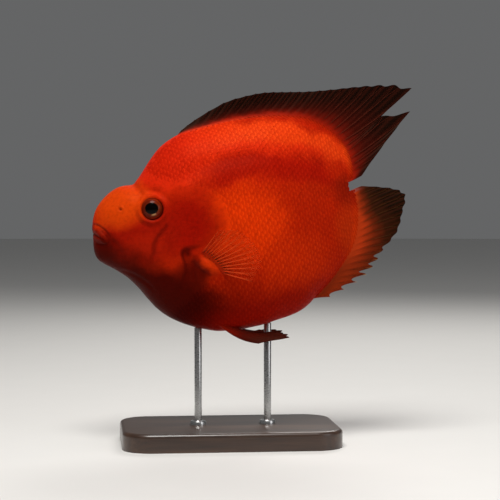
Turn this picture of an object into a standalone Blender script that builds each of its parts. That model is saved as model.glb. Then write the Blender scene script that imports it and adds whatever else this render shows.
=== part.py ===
# Blood parrot cichlid without a tail fin, as a life-size museum model on a plain stand.
# The fish is modelled in its own frame, in millimetres: a runs along the body from the
# mouth to the notch between the dorsal and anal fins, y to its right side, h upwards.

import math

import bmesh
import bpy
import numpy as np
from mathutils import Matrix, Vector
from mathutils.bvhtree import BVHTree

MM = 0.001
GAP = 0.3  # kept between two nodes that touch
BESIDE = 60.0  # well outside the body's sides

# Pose and place
HEAD_DOWN = math.radians(9.7)
MOUTH_X = -74.0
MOUTH_HEIGHT = 115.0

# Side outline of the flesh, from the rear notch over the back to the mouth, then back underneath
BACK_PROFILE = [
    (141.6, 0.0), (142.6, 9.6), (141.2, 20.3), (135.6, 30.6), (125.3, 39.1), (113.4, 43.7),
    (101.0, 46.0), (89.0, 46.8), (76.2, 46.3), (63.2, 45.0), (55.9, 44.1), (50.2, 42.4),
    (43.7, 39.0), (37.9, 33.9), (33.6, 29.2), (29.4, 24.6), (25.6, 21.6), (21.9, 21.6),
    (18.0, 21.4), (14.0, 20.0), (10.0, 17.6), (6.1, 14.3), (3.1, 10.4), (1.0, 5.4), (0.2, 0.8),
]
BELLY_PROFILE = [
    (-0.2, -3.4), (-0.8, -7.4), (-0.8, -12.0), (0.6, -15.6), (3.6, -18.4), (8.2, -22.0),
    (13.6, -26.8), (18.8, -33.6), (23.4, -41.2), (28.4, -48.4), (35.4, -54.6), (45.3, -60.3),
    (57.0, -64.6), (69.2, -66.0), (79.2, -65.8), (88.1, -65.0), (97.2, -63.6), (104.1, -61.8),
    (109.6, -59.0), (115.6, -54.2), (123.4, -47.8), (131.8, -39.4), (138.3, -30.0),
    (141.9, -19.0), (142.0, -9.6),
]

# Half widths of the body at stations along it, and how its sections round off
WIDTH_STATIONS = [-2.0, 4.0, 10.0, 20.0, 33.0, 46.0, 60.0, 75.0, 90.0, 105.0, 118.0, 130.0, 142.0, 150.0]
HALF_WIDTHS = [11.0, 11.8, 13.0, 15.0, 17.4, 20.4, 23.4, 24.6, 23.4, 20.0, 15.6, 10.8, 5.6, 3.8]
HEAD_GRID, TRUNK_GRID = (96, 10), (84, 9)  # points round the outline, rings out to it
OUTLINE_STEPS, WIDTH_STEPS = 900, 400  # how finely the outline and the widths are worked out
HEAD_CROWDING = 0.3  # the grid is finer at the head than at the rear
CORE_FRONT, CORE_REAR = 29.0, 106.0  # ends of the line of greatest width
CORE_LEVEL, CORE_SAG, CORE_HALF_HEIGHT = -4.0, 5.0, 1.2
BACK_EDGE, BELLY_EDGE, HEAD_EDGE = (2.2, 0.64), (2.9, 0.54), (2.3, 0.5)  # exponents of a section
HEAD_FROM, HEAD_TO = 32.0, 62.0  # the head's rounder section fades out between these stations

# Shallow forms on the flank: points of its line, width across, depth (negative is a hollow).
# The first is the arched hollow under the ridge of the back.
FLANK_FORMS = [
    ([(56.0, 22.5), (70.0, 26.0), (84.0, 26.7), (98.0, 25.6), (111.0, 22.2), (123.0, 17.0), (132.0, 11.0)],
     4.6, -1.1),
    ([(26.5, 21.0), (36.5, 15.0)], 2.6, -1.3),
    ([(12.0, 9.0), (21.0, 13.0)], 7.5, 0.9),
    ([(12.0, -8.0), (22.0, -10.0)], 6.5, 0.6),
    ([(42.0, 33.0), (64.0, 36.0)], 7.0, 0.6),
]
FLANK_FORM_EDGE = 6  # power by which the forms fade out before the outline

# Eyes
EYE_A, EYE_H = 33.2, 6.8
EYE_RADIUS, EYE_HALF_DEPTH = 6.2, 4.6
EYE_PROUD = 2.3
EYE_TURN = math.radians(12.0)
RIM_RADIUS, RIM_THICKNESS = 6.5, 1.15

# Mouth and nostrils
MOUTH_CORNER = (5.2, 5.2, -2.6)
UPPER_LIP_TIP, LOWER_LIP_TIP = (1.1, 0.2), (1.0, -4.5)
LIP_RADIUS = 1.8
MOUTH_SLIT_CENTRE, MOUTH_SLIT_SIZE = (-0.6, -2.2), (5.8, 6.4, 0.55)
NOSTRIL_PLACE, NOSTRIL_RADIUS = (16.5, 9.5), 0.85

# Gill covers: the plate's outline, and the line under it where head and trunk part
GILL_OUTLINE = [
    (41.5, -0.5), (36.2, -6.0), (31.8, -12.0), (30.4, -18.0), (28.6, -24.5), (27.6, -31.0),
    (31.5, -37.6), (37.6, -39.4), (43.4, -33.6), (45.8, -26.6), (48.6, -21.8), (54.5, -20.2),
    (60.6, -15.6), (64.8, -8.0), (63.0, 1.6), (56.4, 6.2), (48.4, 3.4),
]
GILL_RAISE, GILL_DEPTH = 0.75, 2.2
PARTING_LINE = [
    (29.0, 42.0), (36.4, 31.0), (47.0, 17.0), (57.0, 7.6), (60.4, 1.2), (61.4, -7.0), (57.6, -13.0),
    (50.4, -17.6), (44.4, -21.4), (42.8, -28.0), (39.4, -34.0), (34.0, -42.0), (26.0, -52.0), (16.0, -62.0),
]

# Fins: thickness of the membrane, of a ray over it, and of the fleshy root
MEMBRANE, RAY, ROOT = 0.6, 1.25, 2.4
ROOT_DEPTH = 2.2  # how far a fin reaches into the flesh before it is cut clear
ROOT_FALL = 5  # power by which the root thins out along a ray
RAY_TAPER, THINNEST = 0.55, 0.9  # a ray's loss of thickness to its tip, and the least over the membrane
RAY_HALF_SPACE = 0.24  # the ridge's half width, in spaces between rays
WAVE_GROWTH, WAVE_TURN, WAVE_START = 1.6, 0.62, 0.6  # sideways waves, along a ray and from ray to ray

# Dorsal and anal fin: rays are numbered from the front and from the notch, and tips are
# given for the rays that shape the fin's edge
DORSAL_RAYS, DORSAL_ROOT_FROM, DORSAL_ROOT_TO = 28, 129.0, 2.6
DORSAL_SQUEEZE, DORSAL_CURL, DORSAL_WAVE = 0.22, -0.03, 1.0
DORSAL_TIPS = {
    0: (57.0, 46.2), 2: (64.8, 50.4), 4: (81.6, 56.9), 6: (94.4, 58.7), 8: (105.0, 58.9), 10: (114.4, 57.7),
    13: (129.1, 55.6), 15: (140.9, 54.6), 17: (153.5, 53.9), 19: (168.0, 52.8), 20: (176.5, 51.6),
    21: (186.0, 48.2), 22: (179.5, 43.6), 23: (167.6, 37.4), 24: (182.8, 35.8), 25: (172.0, 26.4),
    26: (161.6, 16.8), 27: (150.0, 5.4),
}
DORSAL_NOTCH = (0.04, 0.08, 17.0, 5.0)  # short of the tips between rays: front, rear, where it grows
ANAL_SQUEEZE, ANAL_CURL, ANAL_WAVE = 0.0, 0.03, 0.8
ANAL_NOTCH = (0.04, 0.16, 8.0, 4.0)
ANAL_RAYS, ANAL_ROOT_FROM, ANAL_ROOT_TO = 17, 3.0, 70.0
ANAL_TIPS = {
    0: (149.4, -0.4), 2: (164.4, -3.8), 4: (172.6, -8.8), 6: (169.2, -18.4), 8: (164.4, -28.6),
    10: (155.0, -37.2), 11: (151.6, -41.4), 12: (148.0, -45.2), 14: (137.6, -51.8), 16: (121.6, -57.2),
}

# Pectoral and pelvic fins: roots and tips of the rays at the ends and between
PECTORAL_ROOTS = [(52.2, -22.8), (59.4, -32.2)]
PECTORAL_TIPS = {0: (65.2, -9.4), 3: (75.0, -11.2), 6: (82.4, -19.4), 9: (84.6, -29.6), 12: (78.0, -39.4)}
PECTORAL_RAYS, PECTORAL_SPLAY, PECTORAL_BOW, PECTORAL_SUNK = 13, 12.5, 1.6, 1.2
PECTORAL_ACROSS, PECTORAL_NOTCH, PECTORAL_ROOT = (-0.38, 0.92, 0.0), 0.035, 1.8
PECTORAL_LOBE, LOBE_OUT = (3.1, 2.6, 7.4), 0.6
PELVIC_ROOTS = [(60.5, 9.4, -60.0), (66.0, 4.8, -62.6)]  # a, y, h
PELVIC_TIPS = {
    0: (85.0, 13.6, -75.0), 1: (95.8, 13.2, -74.2), 2: (94.2, 12.0, -72.2),
    3: (90.6, 10.6, -70.8), 4: (86.4, 9.2, -69.6), 5: (81.0, 8.0, -68.8),
}
PELVIC_SAG, PELVIC_ACROSS, PELVIC_NOTCH, PELVIC_ROOT = 1.4, (0.28, 0.5, 0.82), 0.05, 2.0

# Stand
BASE_LENGTH, BASE_WIDTH, BASE_THICKNESS, BASE_CORNER, BASE_BEVEL = 118.0, 74.0, 10.0, 16.0, 1.6
ROD_RADIUS = 2.0
ROD_PLACES = {"stand_rod_front": -17.0, "stand_rod_rear": 21.0}
ROD_SINK = 4.0

COLOURS = {
    "skin": ((0.72, 0.05, 0.012), 0.38), "fin": ((0.33, 0.04, 0.015), 0.42),
    "eye": ((0.02, 0.012, 0.008), 0.08), "wood": ((0.05, 0.028, 0.017), 0.45),
    "steel": ((0.55, 0.54, 0.52), 0.3),
}


def material(name):
    """The material of that name from COLOURS, made on first use."""
    found = bpy.data.materials.get(name)
    if found:
        return found
    made = bpy.data.materials.new(name)
    made.use_nodes = True
    colour, roughness = COLOURS[name]
    shader = made.node_tree.nodes["Principled BSDF"]
    shader.inputs["Base Color"].default_value = (*colour, 1.0)
    shader.inputs["Roughness"].default_value = roughness
    shader.inputs["Metallic"].default_value = 1.0 if name == "steel" else 0.0
    return made


def new_object(name, vertices, faces):
    """A mesh object from points in millimetres."""
    mesh = bpy.data.meshes.new(name)
    mesh.from_pydata([Vector(v) * MM for v in vertices], [], faces)
    mesh.update()
    obj = bpy.data.objects.new(name, mesh)
    bpy.context.scene.collection.objects.link(obj)
    return obj


def face_outwards(obj):
    """Turns every face of a closed mesh outwards."""
    shape = bmesh.new()
    shape.from_mesh(obj.data)
    bmesh.ops.recalc_face_normals(shape, faces=shape.faces)
    shape.to_mesh(obj.data)
    shape.free()
    return obj


def combine(target, operation, tools):
    """Joins, cuts or trims the target by the tools in one Boolean, then removes the tools."""
    group = bpy.data.collections.new("tools")
    bpy.context.scene.collection.children.link(group)
    for tool in tools:
        group.objects.link(tool)
    modifier = target.modifiers.new("shape", "BOOLEAN")
    modifier.operation = operation
    modifier.operand_type = "COLLECTION"
    modifier.collection = group
    modifier.solver = "EXACT"
    bpy.context.view_layer.update()
    graph = bpy.context.evaluated_depsgraph_get()
    result = bpy.data.meshes.new_from_object(target.evaluated_get(graph))
    target.modifiers.clear()
    target.data = result
    for tool in tools:
        bpy.data.objects.remove(tool)
    bpy.data.collections.remove(group)
    return target


def keep_largest(obj):
    """Drops every loose scrap, leaving the largest closed surface."""
    shape = bmesh.new()
    shape.from_mesh(obj.data)
    bmesh.ops.remove_doubles(shape, verts=shape.verts, dist=1e-6)
    waiting = set(shape.verts)
    islands = []
    while waiting:
        front = [waiting.pop()]
        island = set(front)
        while front:
            vertex = front.pop()
            near = {edge.other_vert(vertex) for edge in vertex.link_edges} & waiting
            waiting -= near
            island |= near
            front.extend(near)
        islands.append(island)
    largest = max(islands, key=len)
    bmesh.ops.delete(shape, geom=[v for v in shape.verts if v not in largest], context="VERTS")
    shape.to_mesh(obj.data)
    shape.free()
    return obj


def finish(obj, name, slot, fish=None, sharp=40.0):
    """Names a node, gives it its material and shading, and hangs it on the fish."""
    obj.name = name
    obj.data.name = name
    obj.data.materials.clear()
    obj.data.materials.append(material(slot))
    obj.data.shade_smooth()
    obj.data.set_sharp_from_angle(angle=math.radians(sharp))
    if fish:
        obj.parent = fish
    return obj


def spline(points, samples, closed=False):
    """Points spaced evenly along a smooth curve through the given ones."""
    known = np.array(points, float)
    if closed:
        known = np.vstack([known[-1:], known, known[:2]])
    else:
        known = np.vstack([2 * known[0] - known[1], known, 2 * known[-1] - known[-2]])
    t = np.linspace(0, 1, 24, endpoint=False)[:, None]
    pieces = []
    for p0, p1, p2, p3 in zip(known, known[1:], known[2:], known[3:]):
        pieces.append(0.5 * (2 * p1 + (p2 - p0) * t + (2 * p0 - 5 * p1 + 4 * p2 - p3) * t**2
                             + (3 * p1 - p0 - 3 * p2 + p3) * t**3))
    line = np.vstack(pieces + [known[-2:-1]])
    walked = np.concatenate([[0], np.cumsum(np.linalg.norm(np.diff(line, axis=0), axis=1))])
    wanted = np.linspace(0, walked[-1], samples)
    return np.column_stack([np.interp(wanted, walked, line[:, k]) for k in range(line.shape[1])])


# The flesh outline, and its two halves as walks from the rear notch
MOUTH_POINT = BACK_PROFILE[-1]
NOTCH_POINT = BACK_PROFILE[0]
BACK_WALK = spline(BACK_PROFILE, OUTLINE_STEPS)
BELLY_WALK = spline([MOUTH_POINT] + BELLY_PROFILE + [NOTCH_POINT], OUTLINE_STEPS)[::-1]


def along(walk, distance):
    """The point of an outline half at a distance from the rear notch."""
    steps = np.concatenate([[0], np.cumsum(np.linalg.norm(np.diff(walk, axis=0), axis=1))])
    return np.array([np.interp(distance, steps, walk[:, k]) for k in (0, 1)])


def near_form(a, h, line, width):
    """How much of a flank form reaches each point: 1 on its line, fading over its width."""
    away = np.full(a.shape, np.inf)
    for start, end in zip(np.array(line), np.array(line)[1:]):
        run = end - start
        share = np.clip(((a - start[0]) * run[0] + (h - start[1]) * run[1]) / (run @ run), 0, 1)
        away = np.minimum(away, np.hypot(a - start[0] - share * run[0], h - start[1] - share * run[1]))
    return np.exp(-((away / width) ** 2))


def body_grid(around, levels):
    """Rings of the body's side, from its core line out to the outline: arrays of a, h and y."""
    half = around // 2
    share = np.linspace(0, 1, half + 1)
    share = share + HEAD_CROWDING * np.sin(np.pi * share) / np.pi
    steps = np.round(share * (OUTLINE_STEPS - 1)).astype(int)
    back, belly = BACK_WALK[steps], BELLY_WALK[steps]
    outline = np.vstack([back, belly[-2:0:-1]])
    angle = np.pi * np.concatenate([share, 2 - share[-2:0:-1]])
    middle, reach = (CORE_FRONT + CORE_REAR) / 2, (CORE_REAR - CORE_FRONT) / 2
    core = np.column_stack([
        middle + reach * np.cos(angle),
        CORE_LEVEL - CORE_SAG * np.sin(angle) ** 2 + CORE_HALF_HEIGHT * np.sin(angle),
    ])
    out = np.sin(np.pi / 2 * np.linspace(0, 1, levels + 1))[:, None]
    a = core[:, 0] + out * (outline[:, 0] - core[:, 0])
    h = core[:, 1] + out * (outline[:, 1] - core[:, 1])
    upward = 0.5 + 0.5 * np.sin(angle)
    headward = np.clip((HEAD_TO - a) / (HEAD_TO - HEAD_FROM), 0, 1)
    power, root = (
        (belly_edge + (back_edge - belly_edge) * upward) * (1 - headward) + head_edge * headward
        for belly_edge, back_edge, head_edge in zip(BELLY_EDGE, BACK_EDGE, HEAD_EDGE)
    )
    y = half_width(a) * np.clip(1 - out**power, 0, 1) ** root
    for line, width, depth in FLANK_FORMS:
        y = y + depth * near_form(a, h, line, width) * (1 - out**FLANK_FORM_EDGE)
    y[-1] = 0
    return a, h, y


def half_width(a):
    """The body's half width at a, from the stations by a smooth curve."""
    fine = spline(list(zip(WIDTH_STATIONS, HALF_WIDTHS)), WIDTH_STEPS)
    return np.interp(a, fine[:, 0], fine[:, 1])


def body_mesh(name, grid, grow=0.0):
    """The whole fish without fins as one closed body, grown by a margin along its normals."""
    around, levels = grid
    a, h, y = body_grid(around, levels)
    vertices, faces = [], []
    index = {}
    for side in (-1, 1):
        for j in range(levels + 1):
            for i in range(around):
                if j == levels and side == 1:
                    index[side, j, i] = index[-1, j, i]
                    continue
                index[side, j, i] = len(vertices)
                vertices.append((a[j, i], side * y[j, i], h[j, i]))
    for side in (-1, 1):
        for j in range(levels):
            for i in range(around):
                k = (i + 1) % around
                ring = [index[side, j, i], index[side, j, k], index[side, j + 1, k], index[side, j + 1, i]]
                faces.append(ring)
        for i in range(1, around // 2 - 1):  # across the core, from its upper to its lower edge
            faces.append([index[side, 0, i], index[side, 0, i + 1],
                          index[side, 0, around - i - 1], index[side, 0, around - i]])
        faces.append([index[side, 0, 0], index[side, 0, 1], index[side, 0, around - 1]])
        middle = around // 2
        faces.append([index[side, 0, middle], index[side, 0, middle + 1], index[side, 0, middle - 1]])
    obj = face_outwards(new_object(name, vertices, faces))
    if grow:
        normals = [vertex.normal.copy() for vertex in obj.data.vertices]
        for vertex, normal in zip(obj.data.vertices, normals):
            vertex.co += normal * grow * MM
        obj.data.update()
    return obj


class Surface:
    """Looks up the body's side surface: its half width and its outward normal at (a, h)."""

    def __init__(self):
        body = body_mesh("lookup", (240, 40))
        shape = bmesh.new()
        shape.from_mesh(body.data)
        self.tree = BVHTree.FromBMesh(shape)
        shape.free()
        bpy.data.objects.remove(body)

    def at(self, a, h):
        point, normal = self.tree.ray_cast(Vector((a, BESIDE, h)) * MM, Vector((0, -1, 0)))[:2]
        if point is None:
            return 0.0, Vector((0, 1, 0))
        return point.y / MM, normal


def prism(name, line, reach):
    """A block through the whole width whose side outline is the line closed far along a."""
    corners = [tuple(p) for p in line] + [(reach, line[-1][1]), (reach, line[0][1])]
    count = len(corners)
    vertices = [(a, side * BESIDE, h) for side in (-1, 1) for a, h in corners]
    faces = [list(range(count)), list(range(count, 2 * count))]
    faces += [[i, (i + 1) % count, count + (i + 1) % count, count + i] for i in range(count)]
    return face_outwards(new_object(name, vertices, faces))


def shifted(line, by):
    """An open line moved sideways, towards larger a where by is positive."""
    step = np.gradient(line, axis=0)
    step /= np.linalg.norm(step, axis=1)[:, None]
    return line + by * np.column_stack([-step[:, 1], step[:, 0]])


def tube(name, points, radii, sides=8):
    """A closed tube through the points, with a radius at each."""
    points = np.array(points, float)
    heading = np.gradient(points, axis=0)
    heading /= np.linalg.norm(heading, axis=1)[:, None]
    vertices, faces = [], []
    across = np.cross(heading[0], (0, 0, 1))
    if np.linalg.norm(across) < 0.2:
        across = np.cross(heading[0], (0, 1, 0))
    for centre, way, radius in zip(points, heading, radii):
        across = across - way * (across @ way)
        across /= np.linalg.norm(across)
        over = np.cross(way, across)
        for k in range(sides):
            turn = 2 * math.pi * k / sides
            vertices.append(centre + radius * (across * math.cos(turn) + over * math.sin(turn)))
    for i in range(len(points) - 1):
        for k in range(sides):
            n = (k + 1) % sides
            faces.append([i * sides + k, i * sides + n, (i + 1) * sides + n, (i + 1) * sides + k])
    faces.append(list(range(sides)))
    faces.append([(len(points) - 1) * sides + k for k in range(sides)])
    return face_outwards(new_object(name, vertices, faces))


def ellipsoid(name, centre, radii, turn=None, segments=20, rings=12):
    """A ball stretched to three radii, turned about its centre."""
    shape = bmesh.new()
    bmesh.ops.create_uvsphere(shape, u_segments=segments, v_segments=rings, radius=1.0)
    place = Matrix.Translation(Vector(centre) * MM) @ (turn or Matrix.Identity(4))
    bmesh.ops.transform(shape, matrix=place @ Matrix.Diagonal((*(Vector(radii) * MM), 1)), verts=shape.verts)
    mesh = bpy.data.meshes.new(name)
    shape.to_mesh(mesh)
    shape.free()
    obj = bpy.data.objects.new(name, mesh)
    bpy.context.scene.collection.objects.link(obj)
    return obj


def plate(name, surface, side, grow, outer, inner):
    """A gill cover's shell: the outline grown by a margin, from outer above the skin to inner below."""
    outline = spline(GILL_OUTLINE, 37, closed=True)[:-1]
    centre = outline.mean(axis=0)
    away = outline - centre
    outline = outline + grow * away / np.linalg.norm(away, axis=1)[:, None]
    count, levels = len(outline), 4
    vertices, faces = [], []
    for top in (True, False):
        for j in range(levels + 1):
            share = j / levels
            for a, h in centre + share * (outline - centre) if j else [centre]:
                skin = surface.at(a, h)[0]
                rounded = outer * (1 - 0.55 * share**6) if outer < 2 else outer
                vertices.append((a, side * (skin + (rounded if top else -inner)), h))
    layer = 1 + levels * count
    for base in (0, layer):
        for i in range(count):
            k = (i + 1) % count
            faces.append([base, base + 1 + i, base + 1 + k])
            for j in range(levels - 1):
                ring = base + 1 + j * count
                faces.append([ring + i, ring + k, ring + count + k])
                faces.append([ring + i, ring + count + k, ring + count + i])
    rim = 1 + (levels - 1) * count
    for i in range(count):
        k = (i + 1) % count
        faces.append([rim + i, rim + k, layer + rim + k, layer + rim + i])
    return face_outwards(new_object(name, vertices, faces))


def lip(name, tip, bulge):
    """One lip: a tube round the front of the snout from corner to corner."""
    points, radii = [], []
    for turn in np.linspace(-0.5 * math.pi, 0.5 * math.pi, 13):
        front = math.cos(turn)
        points.append((
            MOUTH_CORNER[0] + (tip[0] - MOUTH_CORNER[0]) * front,
            MOUTH_CORNER[1] * math.sin(turn),
            MOUTH_CORNER[2] + (tip[1] - MOUTH_CORNER[2]) * front,
        ))
        radii.append(bulge * (0.35 + 0.65 * front**0.6))
    return tube(name, points, radii)


def eye_centre(surface, side):
    skin = surface.at(EYE_A, EYE_H)[0]
    return (EYE_A, side * (skin + EYE_PROUD - EYE_HALF_DEPTH), EYE_H)


def eye_turn(side):
    return Matrix.Rotation(side * EYE_TURN, 4, "Z")


def eye_ball(name, surface, side, grow=0.0):
    radii = (EYE_RADIUS + grow, EYE_HALF_DEPTH + grow, EYE_RADIUS + grow)
    return ellipsoid(name, eye_centre(surface, side), radii, eye_turn(side), 20, 12)


def eye_rim(surface, side):
    """The raised ring of skin round an eye."""
    points = []
    for turn in np.linspace(0, 2 * math.pi, 25)[:-1]:
        a, h = EYE_A + RIM_RADIUS * math.cos(turn), EYE_H + RIM_RADIUS * math.sin(turn)
        points.append((a, side * (surface.at(a, h)[0] + 0.15), h))
    vertices, faces, sides = [], [], 6
    centre = np.array(points).mean(axis=0)
    for point in np.array(points):
        outward = point - centre
        outward /= np.linalg.norm(outward)
        over = np.array((0, side, 0))
        for k in range(sides):
            angle = 2 * math.pi * k / sides
            vertices.append(point + RIM_THICKNESS * (outward * math.cos(angle) + over * math.sin(angle)))
    for i in range(len(points)):
        n = (i + 1) % len(points)
        for k in range(sides):
            m = (k + 1) % sides
            faces.append([i * sides + k, i * sides + m, n * sides + m, n * sides + k])
    return face_outwards(new_object("rim", vertices, faces))


def make_head(fish, surface):
    """Everything before the parting line: forehead, cheeks, jaws, lips, eye rims."""
    parting = spline(PARTING_LINE, 60)
    head = body_mesh("head", HEAD_GRID)
    combine(head, "DIFFERENCE", [prism("behind", shifted(parting, -GAP / 2), 220.0)])
    keep_largest(head)
    added = [lip("upper", UPPER_LIP_TIP, LIP_RADIUS), lip("lower", LOWER_LIP_TIP, LIP_RADIUS * 1.1)]
    added += [eye_rim(surface, side) for side in (-1, 1)]
    combine(head, "UNION", added)
    slit = (MOUTH_SLIT_CENTRE[0], 0.0, MOUTH_SLIT_CENTRE[1])
    removed = [ellipsoid("slit", slit, MOUTH_SLIT_SIZE)]
    for side in (-1, 1):
        a, h = NOSTRIL_PLACE
        place = (a, side * surface.at(a, h)[0], h)
        removed.append(ellipsoid("nostril", place, (NOSTRIL_RADIUS,) * 3, None, 10, 6))
        removed.append(eye_ball("socket", surface, side, GAP))
        removed.append(plate("pocket", surface, side, GAP, 4.0, GILL_DEPTH + GAP))
    combine(head, "DIFFERENCE", removed)
    return finish(keep_largest(head), "head", "skin", fish)


def make_trunk(fish, surface):
    """The body behind the parting line, with pockets where the gill covers lie over it."""
    parting = spline(PARTING_LINE, 60)
    trunk = body_mesh("trunk", TRUNK_GRID)
    combine(trunk, "DIFFERENCE", [prism("before", shifted(parting, GAP / 2), -60.0)])
    keep_largest(trunk)
    pockets = [plate("pocket", surface, side, GAP, 4.0, GILL_DEPTH + GAP) for side in (-1, 1)]
    combine(trunk, "DIFFERENCE", pockets)
    return finish(keep_largest(trunk), "trunk", "skin", fish)


def key_curve(keys, count):
    """Values for every ray, from the ones that are given, by a smooth curve through them."""
    numbers = sorted(keys)
    rows = np.array([keys[n] for n in numbers], float)
    wanted = np.arange(count)
    slope = np.gradient(rows, numbers, axis=0)
    values = np.zeros((count, rows.shape[1]))
    for n in wanted:
        i = min(max(np.searchsorted(numbers, n, side="right") - 1, 0), len(numbers) - 2)
        span = numbers[i + 1] - numbers[i]
        t = (n - numbers[i]) / span
        ease = np.array([2 * t**3 - 3 * t**2 + 1, t**3 - 2 * t**2 + t, 3 * t**2 - 2 * t**3, t**3 - t**2])
        values[n] = (ease[0] * rows[i] + ease[1] * span * slope[i]
                     + ease[2] * rows[i + 1] + ease[3] * span * slope[i + 1])
    return values


def fin_sheet(name, ray_point, count, rows, across, notch, root_thickness=ROOT):
    """A fin: a thin closed sheet whose rays stand up as ridges on both faces.

    ray_point(c, r) gives the middle surface at ray number c and share r of its length, across
    is the direction through its thickness, and notch(c) how far the membrane falls short
    between rays.
    """
    columns = []
    for ray in range(count):
        for part in (-RAY_HALF_SPACE, 0.0, RAY_HALF_SPACE):
            place = ray + part
            if 0 <= place <= count - 1:
                columns.append((place, part == 0.0))
    vertices, faces = [], []
    for place, is_ray in columns:
        reach = 1.0 if is_ray else 1.0 - notch(place)
        for row in range(rows + 1):
            share = reach * row / rows
            thick = RAY * (1.0 - RAY_TAPER * share) if is_ray else MEMBRANE
            thick = max(thick, MEMBRANE * THINNEST) + (root_thickness - MEMBRANE) * (1 - share) ** ROOT_FALL
            centre = ray_point(place, share)
            vertices.append(centre - np.array(across) * thick / 2)
            vertices.append(centre + np.array(across) * thick / 2)
    per_column = 2 * (rows + 1)

    def corner(column, row, face):
        return column * per_column + 2 * row + face

    last = len(columns) - 1
    for column in range(last):
        for row in range(rows):
            for face in (0, 1):
                p, q = corner(column, row, face), corner(column + 1, row, face)
                r, s = corner(column + 1, row + 1, face), corner(column, row + 1, face)
                faces += [[p, q, r], [p, r, s]] if face else [[q, p, r], [r, p, s]]
        for row in (0, rows):
            p, q = corner(column, row, 0), corner(column + 1, row, 0)
            faces += [[p, q, q + 1], [p, q + 1, p + 1]]
    for column in (0, last):
        for row in range(rows):
            p, q = corner(column, row, 0), corner(column, row + 1, 0)
            faces += [[p, q, q + 1], [p, q + 1, p + 1]]
    return face_outwards(new_object(name, vertices, faces))


def median_fin(name, walk, roots_from, roots_to, tips, count, wave, curl, edge_notch, squeeze):
    """The dorsal or the anal fin, in the middle plane, rooted along half of the outline."""
    front, rear, grows_from, grows_over = edge_notch

    def notch(place):
        return front + (rear - front) * min(1.0, max(0.0, (place - grows_from) / grows_over))

    share = np.linspace(0, 1, count)
    share = share + squeeze * np.sin(np.pi * share) / np.pi
    distances = roots_from + (roots_to - roots_from) * share
    edge = np.array([along(walk, d) for d in distances])
    ahead = np.array([along(walk, d + 0.5) for d in distances]) - edge
    inward = np.column_stack([-ahead[:, 1], ahead[:, 0]]) / np.linalg.norm(ahead, axis=1)[:, None]
    if walk is BELLY_WALK:
        inward = -inward
    tip = key_curve(tips, count)
    numbers = np.arange(count)

    def ray_point(place, r):
        def of(rows_):
            return np.array([np.interp(place, numbers, rows_[:, k]) for k in (0, 1)])

        root, end = of(edge + inward * ROOT_DEPTH), of(tip)
        point = root + (end - root) * r
        lift = np.array([-(end - root)[1], (end - root)[0]]) * curl * math.sin(math.pi * r)
        point = point + lift
        side = wave * max(r, 0.0) ** WAVE_GROWTH * math.sin(place * WAVE_TURN + WAVE_START)
        return np.array((point[0], side, point[1]))

    return fin_sheet(name, ray_point, count, 5, (0, 1, 0), notch)


def make_dorsal_fin(fish, clear):
    fin = median_fin("dorsal", BACK_WALK, DORSAL_ROOT_FROM, DORSAL_ROOT_TO, DORSAL_TIPS,
                     DORSAL_RAYS, DORSAL_WAVE, DORSAL_CURL, DORSAL_NOTCH, DORSAL_SQUEEZE)
    combine(fin, "DIFFERENCE", [clear()])
    return finish(keep_largest(fin), "dorsal_fin", "fin", fish, 60.0)


def make_anal_fin(fish, clear):
    fin = median_fin("anal", BELLY_WALK, ANAL_ROOT_FROM, ANAL_ROOT_TO, ANAL_TIPS,
                     ANAL_RAYS, ANAL_WAVE, ANAL_CURL, ANAL_NOTCH, ANAL_SQUEEZE)
    combine(fin, "DIFFERENCE", [clear()])
    return finish(keep_largest(fin), "anal_fin", "fin", fish, 60.0)


def make_pectoral_fin(name, side, fish, surface, clear):
    """A fan of rays from a fleshy lobe on the flank, held a little out from the body."""
    count = PECTORAL_RAYS
    tips = key_curve(PECTORAL_TIPS, count)
    first, last = np.array(PECTORAL_ROOTS[0]), np.array(PECTORAL_ROOTS[1])
    middle = (first + last) / 2
    skin = surface.at(*middle)[0]

    def ray_point(place, r):
        root = first + (last - first) * place / (count - 1)
        end = np.array([np.interp(place, np.arange(count), tips[:, k]) for k in (0, 1)])
        point = root + (end - root) * r
        out = surface.at(*root)[0] - PECTORAL_SUNK + PECTORAL_SPLAY * r + PECTORAL_BOW * math.sin(math.pi * r)
        return np.array((point[0], side * out, point[1]))

    across = np.array(PECTORAL_ACROSS) * (1, side, 1)
    fin = fin_sheet(name, ray_point, count, 4, across, lambda c: PECTORAL_NOTCH, PECTORAL_ROOT)
    slant = math.atan2(last[0] - first[0], first[1] - last[1])
    turn = Matrix.Rotation(-slant, 4, "Y")
    lobe = ellipsoid("lobe", (middle[0], side * (skin + LOBE_OUT), middle[1]), PECTORAL_LOBE, turn, 16, 8)
    combine(fin, "UNION", [lobe])
    combine(fin, "DIFFERENCE", [clear()])
    return finish(keep_largest(fin), name, "fin", fish, 60.0)


def make_pelvic_fin(name, side, fish, clear):
    """A narrow fin folded back along the belly, its outer ray lowest."""
    count = len(PELVIC_TIPS)
    tips = key_curve(PELVIC_TIPS, count)
    first, last = np.array(PELVIC_ROOTS[0]), np.array(PELVIC_ROOTS[1])

    def ray_point(place, r):
        root = first + (last - first) * place / (count - 1)
        end = np.array([np.interp(place, np.arange(count), tips[:, k]) for k in range(3)])
        point = root + (end - root) * r - np.array((0, 0, PELVIC_SAG)) * math.sin(math.pi * r)
        return point * (1, side, 1)

    across = np.array(PELVIC_ACROSS) * (1, side, 1)
    fin = fin_sheet(name, ray_point, count, 5, across, lambda c: PELVIC_NOTCH, PELVIC_ROOT)
    combine(fin, "DIFFERENCE", [clear()])
    return finish(keep_largest(fin), name, "fin", fish, 60.0)


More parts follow.
